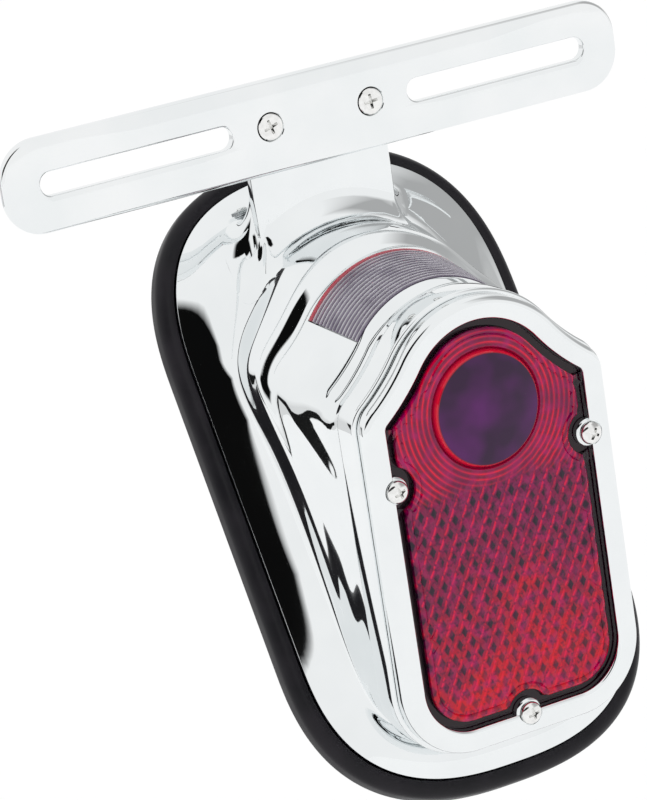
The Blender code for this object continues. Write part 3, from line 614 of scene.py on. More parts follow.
def lens_depth(x, z):
    """Depth of the lens's front surface behind the bezel's face, at (x, z) from the bullseye."""
    edge = outline_distance(x, z)
    notch = notch_distance(x, z)
    wall = min(edge - PANEL_INSET, notch)
    radius = math.hypot(x, z)
    if wall <= 0.0:
        return LENS_EDGE[0]
    depth = LENS_EDGE[0] - 1.9 * smooth(wall, 0.0, 0.35) - 0.45 * smooth(wall, 0.25, 1.0)
    # A shallow groove sets the border band off from the rest
    depth += 0.28 * max(0.0, 1.0 - abs(wall - 2.0) / 0.35)
    if radius < BULLSEYE_RADIUS + 1.6 and wall > 0.4:
        step = smooth(radius, BULLSEYE_RADIUS - 0.3, BULLSEYE_RADIUS + 0.5)
        dome = -1.9 + 1.5 * (radius / BULLSEYE_RADIUS) ** 2
        groove = 0.5 * max(0.0, 1.0 - abs(radius - BULLSEYE_RADIUS - 0.6) / 0.5)
        return dome * (1 - step) + (depth + groove) * step
    if in_field(x, z, edge, notch):
        return depth + cell_relief(x, z)
    if wall > 2.4 and z > FIELD_TOP - 6.0:
        share = (radius / FLUTE_PITCH) % 1.0
        depth += FLUTE_DEPTH * scallop(share)
    return depth


def cell_centre(i, j):
    return CELL_PITCH * 0.5 * (i + j), CELL_PITCH * math.sqrt(3) / 2 * (i - j)


def cell_relief(x, z):
    """Three faces of a cube's corner, repeated: a sloping rhombus each way from every cell's centre."""
    across, along = x / CELL_PITCH, z / (CELL_PITCH * math.sqrt(3))
    m, n = math.floor(across + along), math.floor(across - along)
    offsets = []
    for i in (m, m + 1):
        for j in (n, n + 1):
            cx, cz = cell_centre(i, j)
            offsets.append((x - cx, z - cz))
    dx, dz = min(offsets, key=lambda offset: math.hypot(*offset))
    edge = CELL_PITCH / math.sqrt(3)
    ways = (math.pi / 6, 5 * math.pi / 6, 1.5 * math.pi)
    reach = max(dx * math.cos(t) + dz * math.sin(t) for t in ways)
    return CELL_STEP * (2 - 2 * reach / edge)


def circle(radius, count, cx=0.0, cz=0.0):
    turn = (2 * math.pi * k / count for k in range(count))
    return [(cx + radius * math.cos(t), cz + radius * math.sin(t)) for t in turn]


def lens_points():
    """Points that the front surface needs inside its edge: walls, rings, flutes and cells."""
    points = [(0.0, 0.0)]

    def keep(x, z):
        clear = min(math.hypot(x - sx, z - sz) for sx, sz in BEZEL_SCREWS) >= 2.6
        if clear and inside((x, z), LENS_RING) and outline_distance(x, z) >= 0.4:
            points.append((x, z))

    for grow in WALL_STEPS:
        inset = PANEL_INSET + grow
        for x, z, nx, nz in OUTLINE[::2]:
            px, pz = x - inset * nx, z - inset * nz
            if notch_distance(px, pz) > inset - PANEL_INSET + 0.1:
                keep(px, pz)
        for sx, sz in BEZEL_SCREWS:
            for px, pz in circle(NOTCH_RADIUS + grow, 72, sx, sz):
                if inside((px, pz), LENS_RING) and outline_distance(px, pz) > PANEL_INSET + grow + 0.1:
                    keep(px, pz)
    for radius in EYE_RINGS:
        for x, z in circle(radius, 24 if radius < 11.0 else 144):
            keep(x, z)
    # Ring flutes on each side of the bullseye
    radius = FLUTES_FROM
    while radius < FLUTES_TO:
        for x, z in circle(radius, int(radius * 3.2)):
            edge, notch = outline_distance(x, z), notch_distance(x, z)
            if z < FIELD_TOP - 6.0 or min(edge - PANEL_INSET, notch) < 2.5:
                continue
            if not in_field(x, z, edge, notch):
                keep(x, z)
        radius += FLUTE_PITCH / 6
    # Corners and centres of the reflex cells
    side = CELL_PITCH / math.sqrt(3)
    for i in range(-40, 41):
        for j in range(-40, 41):
            cx, cz = cell_centre(i, j)
            if abs(cx) > HALF_WIDTH + 3 or cz > 0 or cz < -OPENING_DROP:
                continue
            spots = [(cx, cz)]
            spots += [(cx + side * math.cos(a), cz + side * math.sin(a)) for a in (math.pi / 6, math.pi / 2)]
            for x, z in spots:
                if in_field(x, z, outline_distance(x, z), notch_distance(x, z)):
                    keep(x, z)
    return points


def make_lens(mats):
    walls = [[opening_ring(1.5, depth)[::2] for depth in LENS_EDGE]]
    extra = [(x, LENS_AXIS_Z + z) for x, z in lens_points()]
    lens = plate(
        "red_lens_moulding",
        walls,
        extra,
        lambda x, z: LENS_FRONT_Y + lens_depth(x, z - LENS_AXIS_Z),
        angle=12.0,
    )
    holes = []
    for x, z in BEZEL_SCREWS:
        profile = ((1.9, LENS_FRONT_Y + 1.0), (1.9, LENS_FRONT_Y + 8.0))
        holes.append(turned("hole", profile, on_y(x, LENS_AXIS_Z + z), 24))
    boolean(lens, holes, "DIFFERENCE", 12.0)
    finish_piece(lens, mats, "red_acrylic", "light_body", "red_lens")


def red_lens_material():
    """Red acrylic: dark bullseye, ring flutes and reflex cells, with painted highlights on the flutes, the
    bullseye's edge and one side of each cell, painted shade on one facet of each cell, and painted light
    towards the foot.
    """
    made = new_material(
        "red_acrylic", (0.6, 0.0, 0.03), 0.05, Specular_IOR_Level=0.4, Coat_Weight=0.0
    )
    shader = made.node_tree.nodes["Principled BSDF"]
    calc, bands, blend = (partial(function, made) for function in (math_node, ramp, mix_color))
    x, depth, z = lens_coords(made)
    across = calc("DIVIDE", x, CELL_PITCH)
    along = calc("DIVIDE", z, CELL_PITCH * math.sqrt(3))
    m = calc("FRACT", calc("ADD", calc("ADD", across, along), 100.0))
    n = calc("FRACT", calc("ADD", calc("SUBTRACT", across, along), 100.0))
    m_off = calc("ABSOLUTE", calc("SUBTRACT", m, 0.55))
    n_off = calc("ABSOLUTE", calc("SUBTRACT", n, 0.52))
    # Noise for tone that differs at random, and for unevenness in the painted light
    wear_and_light_mottle = noise(made, 70.0, 2.0)
    blotch = noise(made, 260.0, 3.0)
    speck = noise(made, 900.0, 2.0)
    # Painted light: brighter and redder towards the foot of the lens, where light comes back out of it
    height = calc("DIVIDE", calc("ADD", z, OPENING_DROP), OPENING_DROP)
    glow = calc("ADD", height, calc("MULTIPLY", calc("SUBTRACT", wear_and_light_mottle, 0.5), 0.9))
    cells_mid = bands(glow, ((0.12, (0.55, 0.0, 0.012)), (0.4, (0.24, 0.0, 0.035)), (0.9, (0.15, 0.0, 0.06))))
    # Painted shade on one facet of each reflex cell
    cells_painted_shade = bands(
        glow, ((0.05, (0.26, 0.0, 0.015)), (0.3, (0.02, 0.0, 0.014)), (0.8, (0.008, 0.001, 0.012)))
    )
    # Mask of the painted-shade facet in each cell
    dark = bands(calc("MAXIMUM", m_off, n_off), ((0.20, 1.0), (0.30, 0.0)))
    cells = blend(dark, cells_mid, cells_painted_shade)
    # A painted highlight line along one side of each cell, broken up by the blotches
    n_edge = calc("ABSOLUTE", calc("SUBTRACT", n, 0.08))
    line = calc("MULTIPLY", bands(n_edge, ((0.05, 1.0), (0.12, 0.0))), bands(m, ((0.10, 0.0), (0.2, 1.0))))
    line = calc("MULTIPLY", line, bands(blotch, ((0.36, 0.15), (0.6, 1.0))))
    cells = blend(line, cells, (0.85, 0.0, 0.03))
    spots = bands(blotch, ((0.45, 0.0), (0.7, 0.7)))
    cells = blend(spots, cells, (0.36, 0.0, 0.10))
    cells = blend(bands(speck, ((0.5, 0.0), (0.72, 0.75))), cells, (0.03, 0.0, 0.03))
    # Ring flutes, with a painted highlight along each flute and painted shade between
    flat = add_node(made, "ShaderNodeCombineXYZ")
    link(made, x, flat.inputs[0])
    link(made, z, flat.inputs[1])
    length = add_node(made, "ShaderNodeVectorMath", operation="LENGTH")
    link(made, flat.outputs[0], length.inputs[0])
    radius = length.outputs["Value"]
    turn = calc("FRACT", calc("DIVIDE", radius, FLUTE_PITCH))
    flute_painted_light = bands(
        turn,
        (
            (0.0, (0.10, 0.0, 0.03)),
            (0.3, (0.34, 0.0, 0.04)),
            (0.5, (0.80, 0.0, 0.03)),
            (0.75, (0.22, 0.0, 0.04)),
        ),
    )
    flute_painted_light = blend(spots, flute_painted_light, (0.40, 0.0, 0.12))
    flute_painted_light = blend(bands(wear_and_light_mottle, ((0.48, 0.0), (0.75, 0.8))), flute_painted_light, (0.10, 0.0, 0.05))
    below = calc("DIVIDE", calc("SUBTRACT", FIELD_TOP - 4.0, z), 4.0)
    body = blend(bands(below, ((0.0, 1.0), (1.0, 0.0))), cells, flute_painted_light)
    # Bullseye, with a painted highlight ring round its edge
    centre = blend(bands(wear_and_light_mottle, ((0.35, 0.0), (0.65, 1.0))), (0.022, 0.0, 0.03), (0.085, 0.003, 0.105))
    share = calc("DIVIDE", radius, BULLSEYE_RADIUS + 1.0)
    black = (0.0, 0.0, 0.0)
    ring = bands(
        share,
        (
            (0.0, black),
            (0.90, black),
            (0.935, (0.8, 0.01, 0.04)),
            (0.965, (0.4, 0.0, 0.03)),
            (1.0, (0.1, 0.0, 0.03)),
        ),
    )
    eye = blend(bands(share, ((0.895, 1.0), (0.92, 0.0))), ring, centre)
    body = blend(bands(share, ((0.99, 1.0), (1.0, 0.0))), body, eye)
    # The sunken rim under the bezel is in deep shade
    deep = bands(calc("DIVIDE", depth, 4.0), ((0.35, 0.0), (0.55, 1.0)))
    link(made, blend(deep, body, (0.012, 0.001, 0.006)), shader.inputs["Base Color"])
    return made


# ---------------------------------------------------------------- plate window
RIB_PITCH = 1.55
RIB_DEPTH = 0.3
CUT_GAP = 0.3  # clearance of the window in its hole


def window_surface(depth, t, radius):
    back = depth - BODY_START
    x = (radius + FLARE_X * back) * math.cos(t)
    z = ARCH_RISE + (radius + FLARE_Z * back) * math.sin(t)
    return lens_point(x, depth, z)


def window_solid(name, grow, inset, columns=72, ribs=False):
    """A piece of the barrel's wall between two depths into the wall, with ribs round its outside."""
    first = math.radians(WINDOW_ANGLE) - grow / 28.0  # 28 mm is about the barrel's radius
    near, far = WINDOW_DEPTH[0] - grow, WINDOW_DEPTH[1] + grow
    radius = ARCH_RADIUS + BODY_WIDTH
    count = round((far - near) / RIB_PITCH)
    outer = [(near, inset[0]), (far, inset[0])]
    if ribs:
        outer = []
        for k in range(count * 6 + 1):
            sink = RIB_DEPTH * scallop((k / 6) % 1.0)
            outer.append((near + (far - near) * k / (count * 6), inset[0] + sink))
    profile = outer + [(far, inset[1]), (near, inset[1])]
    rings = []
    for k in range(columns + 1):
        t = first + (math.pi - 2 * first) * k / columns
        rings.append([window_surface(depth, t, radius - deep) for depth, deep in profile])
    return loft(name, rings, angle=40.0)


def window_material():
    """Clear acrylic that has yellowed to grey, with painted highlights along its ribs and painted shade
    between, and the lens's red showing in its rear edge.
    """
    made = new_material(
        "clear_acrylic", (0.6, 0.57, 0.64), 0.05, IOR=1.49, Transmission_Weight=0.45, Coat_Weight=0.2
    )
    shader = made.node_tree.nodes["Principled BSDF"]
    calc, bands, blend = (partial(function, made) for function in (math_node, ramp, mix_color))
    _, depth, _ = lens_coords(made)
    near, far = WINDOW_DEPTH
    share = calc("DIVIDE", calc("SUBTRACT", depth, near), far - near)
    turn = calc("FRACT", calc("MULTIPLY", share, float(round((far - near) / RIB_PITCH))))
    # Painted highlight along each rib, with painted shade between the ribs
    rib_painted_highlights = bands(
        turn,
        (
            (0.0, (0.12, 0.09, 0.15)),
            (0.35, (0.42, 0.38, 0.47)),
            (0.6, (0.92, 0.91, 0.94)),
            (1.0, (0.20, 0.16, 0.24)),
        ),
    )
    cloud = bands(noise(made, 120.0, 2.0), ((0.45, 0.0), (0.7, 0.6)))
    rib_painted_highlights = blend(cloud, rib_painted_highlights, (0.10, 0.07, 0.14))
    edge = bands(share, ((0.90, 0.0), (0.965, 1.0)))
    link(made, blend(edge, rib_painted_highlights, (0.75, 0.02, 0.06)), shader.inputs["Base Color"])
    return made


# ---------------------------------------------------------------- finishing a piece
def finish_piece(made, mats, slot, body, *stands_for):
    made.data.materials.clear()
    made.data.materials.append(mats[slot])
    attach(made, body)
    if stands_for:
        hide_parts(*stands_for)


# ---------------------------------------------------------------- housing
STRAIGHT_ROWS, FLARE_ROWS = 22, 26
INNER_STRAIGHT = 0.58  # share of the body's depth that runs straight before it flares, on the inside
OUTER_STRAIGHT = 0.40  # the same on the outside, low on the flanks
OUTER_STRAIGHT_GAIN = 0.14  # and what is added to it up to the bullseye's height
CREASE_TOP = WINDOW_DEPTH[1] + 1.6  # depth of the crease behind the window
FLARE_START = 0.40  # share of the flare's depth over which it first keeps the straight part's direction
FLARE_END = 0.26  # share of the way out to the flange's edge at which it meets the flange's plane
SWELL = 3.4  # height of the swell behind the window
WAIST = 0.9  # depth of the waist in front of it
SEAM_STEP = 0.45  # height of the faint step down the flank
SEAM_REACH = 5.0  # how far the step spreads to each side of its line
EVENING = 6.0  # spread, in points, of the averaging round each ring where the body flares
FLANGE_EDGES = {grow: flange_outline(grow) for grow in (0.0, INNER_GROW)}


def straight_run(z, nz, run):
    """How far the outside runs straight back before it flares into the flange."""
    share = OUTER_STRAIGHT + OUTER_STRAIGHT_GAIN * smooth(z, -30.0, 0.0)
    top = smooth(nz, 0.0, 0.75)
    return (1 - top) * share * run + top * (CREASE_TOP - BODY_START)


def seam_depth(z):
    """Depth of the faint step that runs down the flank from the shoulder to the collar's foot."""
    return 9.5 + 0.0137 * max(z + 40.0, 0.0) ** 2


def rail(i, inset):
    """Points of the body's wall from the collar back to the flange, along one line of the outline."""
    x, z, nx, nz = OUTLINE[i]
    flange_h = FLANGE_H[0] if inset else FLANGE_H[1]
    edge_x, edge_s = FLANGE_EDGES[INNER_GROW if inset else 0.0][i]
    width = BODY_WIDTH - inset
    start = Vector(lens_point(x + width * nx, BODY_START, z + width * nz))
    run = base_y(start.z, flange_h) - start.y
    slope = Vector((FLARE_X * nx, 1.0, FLARE_Z * nz if nz > 0 else 0.0))
    straight = INNER_STRAIGHT * run if inset else straight_run(z, nz, run)
    points = [start + slope * (straight * k / STRAIGHT_ROWS) for k in range(STRAIGHT_ROWS + 1)]
    p0 = points[-1]
    p1 = p0 + slope * (FLARE_START * (run - straight))
    foot_s, _ = to_base(base_y(p0.z, flange_h), p0.z)
    foot_x = p0.x + FLARE_END * (edge_x - p0.x)
    p2 = Vector(base_point(foot_x, foot_s + FLARE_END * (edge_s - foot_s), flange_h))
    p3 = Vector(base_point(edge_x, edge_s, flange_h))
    points += [bezier(p0, p1, p2, p3, step / FLARE_ROWS) for step in range(1, FLARE_ROWS + 1)]
    if inset:
        return points
    # The neck is waisted before the window, and the body swells up behind it. The flange
    # rises a little before it drops to its edge.
    out = Vector((0.0, -math.cos(TILT), math.sin(TILT)))
    aside = Vector((nx, 0.0, nz))
    upper = smooth(nz, -0.1, 0.5)
    flank = (1.0 - upper) * smooth(abs(nx), 0.6, 0.9)
    seam = seam_depth(z)
    shaped = []
    for p in points:
        back = p.y - start.y
        waist = math.sin(math.pi * min(back / (WINDOW_DEPTH[0] - BODY_START), 1.0)) ** 2
        beyond = p.y - p0.y
        swell = smooth(beyond, 0.0, 4.5) * (1 - smooth(beyond, 8.0, 0.9 * max(run - straight, 9.0)))
        height = (p - p3).dot(out)
        gap = (p - p3) - height * out
        share = min(gap.length / PILLOW_WIDTH, 1.0)
        near_base = 1.0 - smooth(height, 2.0, 12.0)
        p = p + aside * upper * (SWELL * swell - WAIST * waist)
        fade = 1.0 - smooth(beyond, 0.0, 0.5 * (run - straight))
        step = smooth(back + BODY_START, seam - SEAM_REACH, seam + SEAM_REACH)
        p = p + aside * flank * SEAM_STEP * fade * step
        shaped.append(p + out * PILLOW_HEIGHT * math.sin(math.pi * share) * near_base)
    return shaped


def wall_rings(inset):
    """Rings of the wall, with each ring evened out round the body where it flares."""
    rails = np.array([[tuple(p) for p in rail(i, inset)] for i in range(len(OUTLINE))])
    rows = rails.transpose(1, 0, 2)
    first = (0 if inset else STRAIGHT_ROWS) - 4
    out = []
    for row, ring in enumerate(rows):
        share = max(0.0, row - first) / (len(rows) - 1 - first)
        spread = EVENING * math.sin(math.pi * min(share, 1.0)) ** 0.7 if share > 0 else 0.0
        if spread > 0.3:
            reach = int(3 * spread)
            weights = np.exp(-0.5 * (np.arange(-reach, reach + 1) / spread) ** 2)
            weights /= weights.sum()
            ring = sum(w * np.roll(ring, k, axis=0) for k, w in zip(range(-reach, reach + 1), weights))
        out.append([tuple(p) for p in ring])
    return out


def make_shell():
    collar = rounded(
        (
            (SEAT_WIDTH, SEAT_DEPTHS[0]),
            (COLLAR_WIDTH, SEAT_DEPTHS[0]),
            (COLLAR_WIDTH, 13.5),
            (BODY_WIDTH, 14.0),
        ),
        (0, 0.9, 1.2, 0),
        5,
        closed=False,
    )
    lip = rounded(
        ((-0.4, FLANGE_H[1]), (0.15, FLANGE_H[1]), (0.15, FLANGE_H[0]), (-0.8, FLANGE_H[0])),
        (0, 0.9, 0.4, 0),
        5,
        closed=False,
    )
    rings = [opening_ring(grow, depth) for grow, depth in collar]
    rings += wall_rings(0.0)
    rings += [flange_ring(grow, h) for grow, h in lip[1:]]
    rings += wall_rings(WALL)[::-1][:-1:3]
    rings += [
        opening_ring(SEAT_WIDTH, SEAT_DEPTHS[3]),
        opening_ring(-SEAL_INNER, SEAT_DEPTHS[2]),
        opening_ring(-SEAL_INNER, SEAT_DEPTHS[1]),
        opening_ring(SEAT_WIDTH, SEAT_DEPTHS[1]),
    ]
    return loft("housing_casting", rings, closed=True, angle=40.0)


BOSS_CORNER = 2.6
BOSS_REACH = (7.0, 9.0, 2.0)  # how far the boss's fillet reaches out in front, at the side and behind
BOSS_RISE = (9.0, 12.0, 4.0)  # and how far it rises


def boss_outline(count_corner=8, count_side=10):
    """(x, y, nx, ny) round the boss, seen from above."""
    half, corner = BOSS_HALF_WIDTH, BOSS_CORNER
    back_y, front_y = BOSS_BACK_Y - corner, BOSS_FRONT_Y + corner
    out = []
    for cx, cy, start in (
        (half - corner, back_y, 0),
        (corner - half, back_y, 90),
        (corner - half, front_y, 180),
        (half - corner, front_y, 270),
    ):
        for k in range(count_corner + 1):
            t = math.radians(start + 90 * k / count_corner)
            out.append((cx + corner * math.cos(t), cy + corner * math.sin(t), math.cos(t), math.sin(t)))
        if start in (0, 180):
            sign = -1.0 if start == 0 else 1.0
            span = 2 * (half - corner)
            y = out[-1][1]
            out += [(cx + sign * span * k / count_side, y, 0.0, -sign) for k in range(1, count_side)]
    return out


def make_boss(tree):
    """The lug behind the bracket, with a fillet that meets the body's surface smoothly all round its foot."""
    top = box_mm("housing")[1].z
    columns = []
    for x, y, nx, ny in boss_outline():
        front, side, back = max(0.0, -ny), abs(nx), max(0.0, ny)
        reach = BOSS_REACH[0] * front + BOSS_REACH[1] * side + BOSS_REACH[2] * back
        rise = BOSS_RISE[0] * front + BOSS_RISE[1] * side + BOSS_RISE[2] * back
        above = Vector((x + reach * nx, y + reach * ny, 200.0)) * MM
        hit, normal, _, _ = tree.ray_cast(above, Vector((0, 0, -1)))
        foot = hit / MM
        outward = Vector((nx, ny, 0.0))
        along = (outward - outward.dot(normal) * normal).normalized()
        start = Vector((x, y, foot.z + rise))
        p1 = start - Vector((0, 0, 0.55 * (start.z - foot.z)))
        p2 = foot - along * reach * 0.6
        end = foot + normal * 0.03
        edge = ((1.2, 0.0), (0.35, 0.35), (0.0, 1.2))
        line = [Vector((x - cut * nx, y - cut * ny, top - down)) for cut, down in edge]
        line += [line[-1].lerp(start, k / 4) for k in range(1, 5)]
        line += [bezier(start, p1, p2, end, k / 16) for k in range(1, 17)]
        line.append(foot - normal * 1.6 - along * 0.3)
        columns.append(line)
    rings = [[tuple(line[k]) for line in columns] for k in range(len(columns[0]))]
    return loft("boss", rings, angle=40.0)


def smooth_tree(mesh):
    """A finder of the smooth surface's normal at any point of a triangulated copy of the mesh."""
    form = bmesh.new()
    form.from_mesh(mesh)
    bmesh.ops.triangulate(form, faces=form.faces)
    form.normal_update()
    form.faces.ensure_lookup_table()
    tree = BVHTree.FromBMesh(form)
    corners = [[v.co.copy() for v in f.verts] for f in form.faces]
    normals = [[v.normal.copy() for v in f.verts] for f in form.faces]
    form.free()
    return tree, corners, normals


def surface_normal(found, point, face_normal):
    tree, corners, normals = found
    spot, flat, index, gap = tree.find_nearest(point)
    if spot is None or gap > 0.00002 or abs(flat.dot(face_normal)) < 0.9:
        return None
    weights = poly_3d_calc(corners[index], spot)
    made = sum((n * w for n, w in zip(normals[index], weights)), Vector())
    return made.normalized() if made.dot(face_normal) > 0 else None


def make_housing(mats):
    shell = make_shell()
    tree = BVHTree.FromObject(shell, bpy.context.evaluated_depsgraph_get())
    boss = make_boss(tree)
    sources = [smooth_tree(shell.data), smooth_tree(boss.data)]
    holes, posts = [], []
    for side in (-1, 1):
        holes.append(turned("hole", ((2.4, 10.0), (2.4, 24.0)), on_y(side * STRAP_SCREW_X, STRAP_Z), 24))
    y = LENS_FRONT_Y
    for x, z in BEZEL_SCREWS:
        post, hole = ((4.3, y + 7.7), (4.3, y + 15.0)), ((1.8, y + 6.0), (1.8, y + 14.2))
        posts.append(turned("post", post, on_y(x * 0.985, LENS_AXIS_Z + z), 24))
        holes.append(turned("hole", hole, on_y(x, LENS_AXIS_Z + z), 24))
    for x, s in BASE_SCREWS:
        posts.append(turned("post", ((4.5, 1.9), (4.5, 12.5)), on_base(x, s), 24))
        holes.append(turned("hole", ((1.8, 1.0), (1.8, 10.5)), on_base(x, s), 24))
    boolean(shell, [boss] + posts, "UNION", 40.0)
    holes.append(window_solid("window_cut", CUT_GAP, (-4.0, 5.5)))
    boolean(shell, holes, "DIFFERENCE", 40.0)
    restore_normals(shell.data, sources)
    finish_piece(shell, mats, "chrome_zinc", "light_body", "housing")


def restore_normals(mesh, sources):
    """Gives the joined mesh the normals that its parts had before they were joined."""
    current = [Vector(n.vector) for n in mesh.corner_normals]
    for face in mesh.polygons:
        for corner in face.loop_indices:
            point = mesh.vertices[mesh.loops[corner].vertex_index].co
            for found in sources:
                made = surface_normal(found, point, face.normal)
                if made is not None and made.dot(current[corner]) > 0.7:
                    current[corner] = made
                    break
    mesh.normals_split_custom_set([tuple(n) for n in current])


# ---------------------------------------------------------------- other pieces
def make_bezel(mats):
    profile = rounded(
        ((0.0, 2.8), (0.0, 0.0), (BEZEL_WIDTH, 0.0), (BEZEL_WIDTH, 4.6), (5.0, 4.6), (5.0, 2.8)),
        (0.2, 1.3, 2.6, 0.25, 0.1, 0.1),
        6,
    )
    rings = [opening_ring(grow, depth) for grow, depth in profile]
    bezel = loft("bezel_rim", rings, closed=True, angle=40.0)
    ears, cuts = [], []
    for x, z in BEZEL_SCREWS:
        place = on_y(x, LENS_AXIS_Z + z)
        y = LENS_FRONT_Y
        ear = ((2.9, y + 0.6), (3.4, y + 0.75), (3.7, y + 1.1), (3.7, y + 2.8))
        ears.append(turned("ear", ear, place, 48))
        cuts.append(turned("seat", ((3.4, y - 1.0), (3.4, y + 0.6)), place, 48))
        cuts.append(turned("hole", ((1.9, y + 0.3), (1.9, y + 6.0)), place, 24))
    boolean(bezel, ears, "UNION", 40.0)
    boolean(bezel, cuts, "DIFFERENCE", 40.0)
    finish_piece(bezel, mats, "chrome_zinc", "light_body", "bezel")


def make_gasket(mats):
    profile = rounded(
        ((-9.0, 0.0), (5.0, 0.0), (5.0, 4.9), (3.0, 6.9), (0.3, 6.6), (0.3, 4.7), (-9.0, 4.7)),
        (0.2, 0.9, 2.2, 2.2, 0.8, 0.3, 0.2),
        5,
    )
    rings = [flange_ring(grow, h) for grow, h in profile]
    gasket = loft("gasket_moulding", rings, closed=True, angle=40.0)
    finish_piece(gasket, mats, "black_rubber", "light_body", "base_gasket")


def arc_ring(arcs, radius, sweep, y, steps=16):
    """A ring of arcs, each given by its centre and start, that turn by the same angle."""
    ring = []
    for x, z, start in arcs:
        for k in range(steps + 1):
            t = math.radians(start + sweep * k / steps)
            ring.append((x + radius * math.cos(t), y, z + radius * math.sin(t)))
    return ring


def strap_ring(shrink, y):
    half_x, half_z = STRAP_HALF[0] - STRAP_CORNER, STRAP_HALF[1] - STRAP_CORNER
    corners = ((1, 1, 0), (-1, 1, 90), (-1, -1, 180), (1, -1, 270))
    arcs = [(sx * half_x, STRAP_Z + sz * half_z, start) for sx, sz, start in corners]
    return arc_ring(arcs, STRAP_CORNER - shrink, 90, y)


def slot_ring(side, grow, y):
    arcs = ((SLOT[1] - SLOT_RADIUS, STRAP_Z, -90), (SLOT[0] + SLOT_RADIUS, STRAP_Z, 90))
    return [(side * x, y, z) for x, _, z in arc_ring(arcs, SLOT_RADIUS + grow, 180, y)]


def make_strap(mats):
    front, back = STRAP_FRONT_Y, STRAP_BACK_Y
    turns = [math.radians(90 * k / 6) for k in range(7)]
    edge = [(1.1 * (1 - math.sin(t)), 1.1 * (1 - math.cos(t))) for t in turns]
    walls = [[strap_ring(d, front + y) for d, y in edge] + [strap_ring(d, back - y) for d, y in edge[::-1]]]
    for side in (-1, 1):
        small = [(0.5 * d, 0.5 * y) for d, y in edge]
        rings = [slot_ring(side, d, front + y) for d, y in small]
        walls.append(rings + [slot_ring(side, d, back - y) for d, y in small[::-1]])
    for side in (-1, 1):
        place = on_y(side * STRAP_SCREW_X, STRAP_Z)
        profile = ((4.05, front), (3.9, front + 0.15), (2.3, front + 1.9), (2.3, back))
        walls.append([[place(r, 2 * math.pi * k / 48, y) for k in range(48)] for r, y in profile])
    strap = plate("bracket_strap", walls, angle=35.0)
    finish_piece(strap, mats, "chrome_steel", "light_body", "plate_bracket")


def cross_tool(x, z, y_open, y_deep, reach, width, turn):
    """A tapered Phillips cross, wide at the head's face and narrow at its bottom."""
    rings = []
    for y, share in ((y_open, 1.0), (y_deep, 0.45)):
        long, wide = reach * share, width * (0.5 + 0.5 * share) / 2
        ring = []
        for k in range(4):
            t = turn + math.pi / 2 * k
            c, s = math.cos(t), math.sin(t)
            for a, b in ((wide, -wide), (long, -wide * 0.8), (long, wide * 0.8)):
                ring.append((x + a * c - b * s, y, z + a * s + b * c))
        rings.append(ring)
    return loft("cross", rings)


PAN_RADIUS = 3.05
PAN_HEIGHT = 1.8
CROSS_WIDTH = 0.95


def make_screws(mats):
    y = LENS_FRONT_Y
    turns = {"left": 0.35, "right": -0.5, "bottom": 0.2}
    for (word, turn), (x, z) in zip(turns.items(), BEZEL_SCREWS):
        turn_up = [math.radians(a) for a in range(8, 91, 9)]
        profile = [(PAN_RADIUS * math.sin(t), y - 0.1 - PAN_HEIGHT * math.cos(t)) for t in turn_up]
        profile += [(PAN_RADIUS, y + 0.15), (2.95, y + 0.3), (1.5, y + 0.3), (1.5, y + 13.2), (1.1, y + 13.8)]
        screw = turned(f"pan_screw_{word}", profile, on_y(x, LENS_AXIS_Z + z), 48, angle=40.0)
        cross = cross_tool(x, LENS_AXIS_Z + z, y - 2.2, y - 0.5, 2.0, CROSS_WIDTH, turn)
        boolean(screw, [cross], "DIFFERENCE", 40.0)
        finish_piece(screw, mats, "nickel_screw", "light_body", f"bezel_screw_{word}")
    front = STRAP_FRONT_Y
    for word, side, turn in (("left", -1, 0.3), ("right", 1, 0.1)):
        x = side * STRAP_SCREW_X
        head = ((2.8, -0.12), (3.4, -0.05), (3.6, 0.1), (3.55, 0.25), (1.95, 1.9))
        profile = [(r, front + along) for r, along in head] + [(1.95, 26.0), (1.5, 26.6)]
        screw = turned(f"strap_screw_{word}", profile, on_y(x, STRAP_Z), 48, angle=30.0)
        cross = cross_tool(x, STRAP_Z, front - 0.5, front + 1.5, 2.3, CROSS_WIDTH, turn)
        boolean(screw, [cross], "DIFFERENCE", 30.0)
        finish_piece(screw, mats, "nickel_screw", "light_body", f"bracket_screw_{word}")


def make_window(mats):
    window = window_solid("window_moulding", 0.0, (-0.3, 1.9), 96, ribs=True)
    finish_piece(window, mats, "clear_acrylic", "light_body", "plate_window")


def make_spring(mats):
    """The coil under the contact disc, built at one length to fill the contact spring's box; the real one
    shortens as the disc is pressed in.
    """
    low, high = box_mm("contact_spring")
    wire = 0.45
    radius = (high.x - low.x) / 2 - wire
    start, length, turns, per_turn = low.y + wire, high.y - low.y - 2 * wire, 2.5, 32
    rings = []
    for i in range(int(turns * per_turn) + 1):
        t = 2 * math.pi * i / per_turn
        y = start + length * i / (turns * per_turn)
        ring = []
        for k in range(10):
            a = 2 * math.pi * k / 10
            r = radius + wire * math.cos(a)
            ring.append((r * math.cos(t), y + wire * math.sin(a), LENS_AXIS_Z + r * math.sin(t)))
        rings.append(ring)
    coil = loft("contact_coil", rings, angle=50.0)
    coil.data.materials.append(mats["spring_steel"])
    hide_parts("contact_spring")
    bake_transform(coil)


def dress_nodes(mats):
    """Every carried-over node takes its record slot's procedural material."""
    slots = {part["node"]: part["material_slot"] for part in frame["record"]["subparts"]}
    for name, node in NODES.items():
        node.data.materials.clear()
        node.data.materials.append(mats[slots[name]])


# ---------------------------------------------------------------- stage
CAMERA_AT = (-441.5, -886.2, 307.2)
LOOK_AZIMUTH = 25.58
LOOK_DOWN = 16.05
ROLL = 8.83
LENS_MM = 172.4


